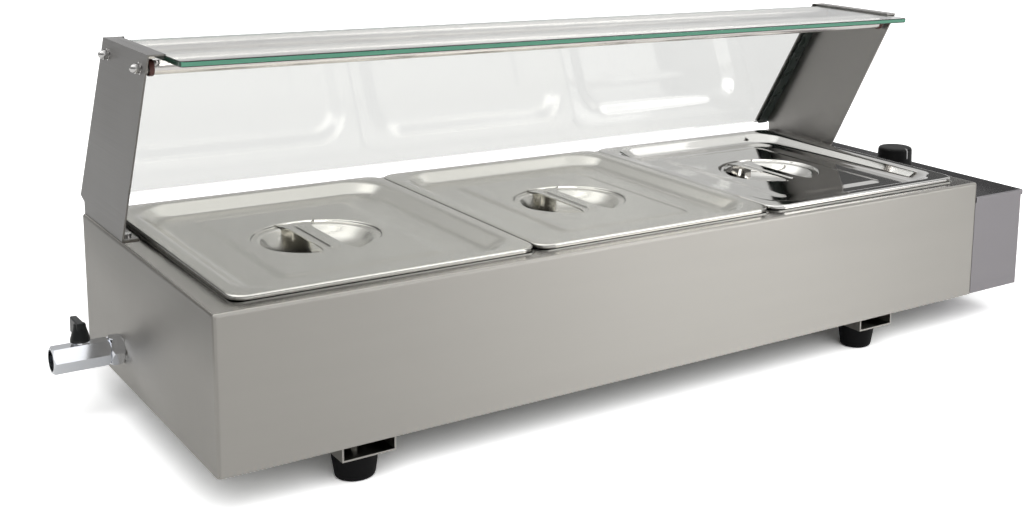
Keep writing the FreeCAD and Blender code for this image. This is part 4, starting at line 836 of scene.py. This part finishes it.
def rounded_copy(node, width, narrowing=1):
    """A copy of a node's mesh with its sharp edges rounded off, narrower about its left-right axis."""
    low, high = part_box(node)
    original = frame["nodes"][node]
    finish = original.data.materials[0]
    piece = bpy.data.objects.new("rounded_" + node, original.data.copy())
    bpy.context.scene.collection.objects.link(piece)
    deselect_objects()
    piece.select_set(True)
    bpy.context.view_layer.objects.active = piece
    bpy.ops.object.mode_set(mode="EDIT")
    bpy.ops.mesh.select_all(action="SELECT")
    bpy.ops.mesh.remove_doubles(threshold=MERGE_DISTANCE)
    bpy.ops.mesh.dissolve_limited(angle_limit=math.radians(1))
    bpy.ops.mesh.select_all(action="SELECT")
    bpy.ops.transform.resize(value=(1, narrowing, narrowing), center_override=(low + high) / 2)
    bpy.ops.object.mode_set(mode="OBJECT")
    round_edges(piece, width, sharpness=35)
    return finish_piece(piece, finish, "base", [node])


NUT_NARROWING = 0.88
SOFT_EDGES = {
    "guard_bracket_left": 0.7 * MM,
    "guard_bracket_right": 0.7 * MM,
    "control_box_shell": 0.5 * MM,
    "control_box_lid": 0.5 * MM,
    "foot_rail_left": 0.5 * MM,
    "foot_rail_right": 0.5 * MM,
    "glass_channel_left": 0.3 * MM,
    "glass_channel_right": 0.3 * MM,
    "valve_body": 0.6 * MM,
    "drain_lock_nut": 0.6 * MM,
    "acorn_nuts": 0.3 * MM,
    "rod_nuts": 0.3 * MM,
    "rod_caps": 0.5 * MM,
}

build_shelf()
for place in ("front_left", "front_right", "rear_left", "rear_right"):
    build_foot(place)
build_knob()
build_pointer()
build_lever()
for node, width in SOFT_EDGES.items():
    narrowing = NUT_NARROWING if node == "drain_lock_nut" else 1
    rounded_copy(node, width, narrowing)


# Studio

FLOOR_SIZE = 16
FLOOR_LIT = (rgb(0.86, 0.86, 0.855), rgb(0.88, 0.88, 0.875))
FLOOR_SEEN = (rgb(1.43, 1.43, 1.43), rgb(1.47, 1.47, 1.47))
FLOOR_MIRRORED = rgb(0.50, 0.50, 0.495)
FLOOR_THROUGH_GLASS = rgb(0.86, 0.86, 0.86)

# Bearings are in degrees clockwise from behind the object, as seen from above. Heights are sines
# of the angle above the horizon. A soft edge is a pair, from where it starts to where it ends.
BACKDROP = 1.1
BEHIND_GLASS = 1.0
AMBIENT = 0.58
WALLS = 0.22
BACK_WALL = 0.27
BACK_WALL_STEPS = ((-38, -28, -0.08), (-12, 5, 0.32), (10, 46, 0.21))
CEILING = 1.35
CEILING_EDGE = (0.58, 0.82)
SOFTBOX = 4.6
SOFTBOX_BEARINGS = ((130, 139), (138, 154))
SOFTBOX_HEIGHTS = ((-0.1, 0.05), (0.7, 0.85))
WINDOW = 0.85
WINDOW_BEARINGS = (152, 176)
WINDOW_HEIGHTS = (0.50, 0.68)
LEFT_LIGHT = 0.65
LEFT_LIGHT_END = (-15, 12)
LEFT_LIGHT_FOOT = (0.35, 0.55)
HORIZON = 0.06
HORIZON_END = (22, 40)
HORIZON_HEIGHTS = ((0.02, 0.05), (0.14, 0.22))
DOORWAY = 0.10
DOORWAY_BEARINGS = (41.5, 62)
DOORWAY_HEIGHTS = (0.13, 0.27)

LENS = 48.26
SENSOR = 36
LENS_SHIFT = (-0.2111, -0.14)
CAMERA_PLACE = (-0.7441, -1.1611, 0.4963)
CAMERA_AZIMUTH = -39.11
CAMERA_TILT = 10.34
CAMERA_ROLL = 1.845


def build_floor():
    """A faintly dusty floor, with a colour each for the camera, mirrors, glass and cast light."""
    deselect_objects()
    bpy.ops.mesh.primitive_plane_add(size=FLOOR_SIZE, location=(0, 0, 0))
    floor = bpy.context.active_object
    floor.name = "floor"
    material, nodes = new_material("studio_floor")
    dust = nodes.noise(nodes.place(), 5, detail=4)
    direct, through, mirrored = nodes.paths()
    colour = nodes.blend(mirrored, nodes.blend(dust, *FLOOR_LIT), FLOOR_MIRRORED)
    colour = nodes.blend(through, colour, FLOOR_THROUGH_GLASS)
    colour = nodes.blend(direct, colour, nodes.blend(dust, *FLOOR_SEEN))
    nodes.surface(nodes.node("BsdfDiffuse", inputs={"Color": colour}))
    floor.data.materials.append(material)


def build_world():
    """An even light, a white backdrop, and for mirrors a room with a bright ceiling.

    A softbox and a window stand to the right of the front. The wall behind brightens to the
    right and is lit high up on the left, with a faint glow along its foot and a dark doorway.
    """
    world = bpy.data.worlds.new("studio")
    world.use_nodes = True
    bpy.context.scene.world = world
    nodes = Shading(world, "World")
    across, back, height = nodes.axes(nodes.node("TexCoord", output="Generated"))
    bearing = across.math("ARCTAN2", back) * math.degrees(1)
    behind = bearing.between(-90, 90)
    back_wall = BACK_WALL
    for start, end, change in BACK_WALL_STEPS:
        back_wall = back_wall + nodes.ramp(bearing, start, end) * change
    walls = WALLS + behind * (back_wall - WALLS)
    ceiling = nodes.ramp(height, *CEILING_EDGE)
    softbox = nodes.band(bearing, *SOFTBOX_BEARINGS) * nodes.band(height, *SOFTBOX_HEIGHTS)
    window = bearing.between(*WINDOW_BEARINGS) * height.between(*WINDOW_HEIGHTS)
    doorway = bearing.between(*DOORWAY_BEARINGS) * height.between(*DOORWAY_HEIGHTS)
    left_light = (behind * (1 - nodes.ramp(bearing, *LEFT_LIGHT_END))
                  * nodes.ramp(height, *LEFT_LIGHT_FOOT))
    horizon = (behind * (1 - nodes.ramp(bearing, *HORIZON_END))
               * nodes.band(height, *HORIZON_HEIGHTS))
    room = (walls + ceiling * (CEILING - walls) + softbox * SOFTBOX + window * WINDOW
            + left_light * LEFT_LIGHT + horizon * HORIZON)
    room = room + doorway * (DOORWAY - room)
    direct, through, mirrored = nodes.paths()
    strength = (AMBIENT + mirrored * (room - AMBIENT) + direct * (BACKDROP - AMBIENT)
                + through * (BEHIND_GLASS - AMBIENT))
    nodes.surface(nodes.node("Background", inputs={"Color": rgb(1, 1, 1), "Strength": strength}))


def add_sun(name, strength, spread, azimuth, elevation):
    """A sun that isn't mirrored. Its spread is how wide it looks, in degrees."""
    light = bpy.data.lights.new(name, "SUN")
    light.energy = strength
    light.angle = math.radians(spread)
    lamp = bpy.data.objects.new(name, light)
    bpy.context.scene.collection.objects.link(lamp)
    lamp.rotation_euler = (math.radians(90 - elevation), 0, math.radians(azimuth))
    lamp.visible_glossy = False


def build_camera():
    """A camera that is turned about the upright axis, tilted down and rolled a little."""
    lens = bpy.data.cameras.new("view")
    lens.lens = LENS
    lens.sensor_width = SENSOR
    lens.shift_x, lens.shift_y = LENS_SHIFT
    camera = bpy.data.objects.new("view", lens)
    bpy.context.scene.collection.objects.link(camera)
    azimuth = Matrix.Rotation(math.radians(CAMERA_AZIMUTH), 4, "Z")
    tilt = Matrix.Rotation(math.radians(90 - CAMERA_TILT), 4, "X")
    roll = Matrix.Rotation(math.radians(CAMERA_ROLL), 4, "Z")
    camera.matrix_world = Matrix.Translation(CAMERA_PLACE) @ azimuth @ tilt @ roll
    bpy.context.scene.camera = camera


build_floor()
build_world()
add_sun("key", strength=2.5, spread=50, azimuth=-12, elevation=44)
build_camera()
bpy.context.scene.view_settings.view_transform = "Standard"
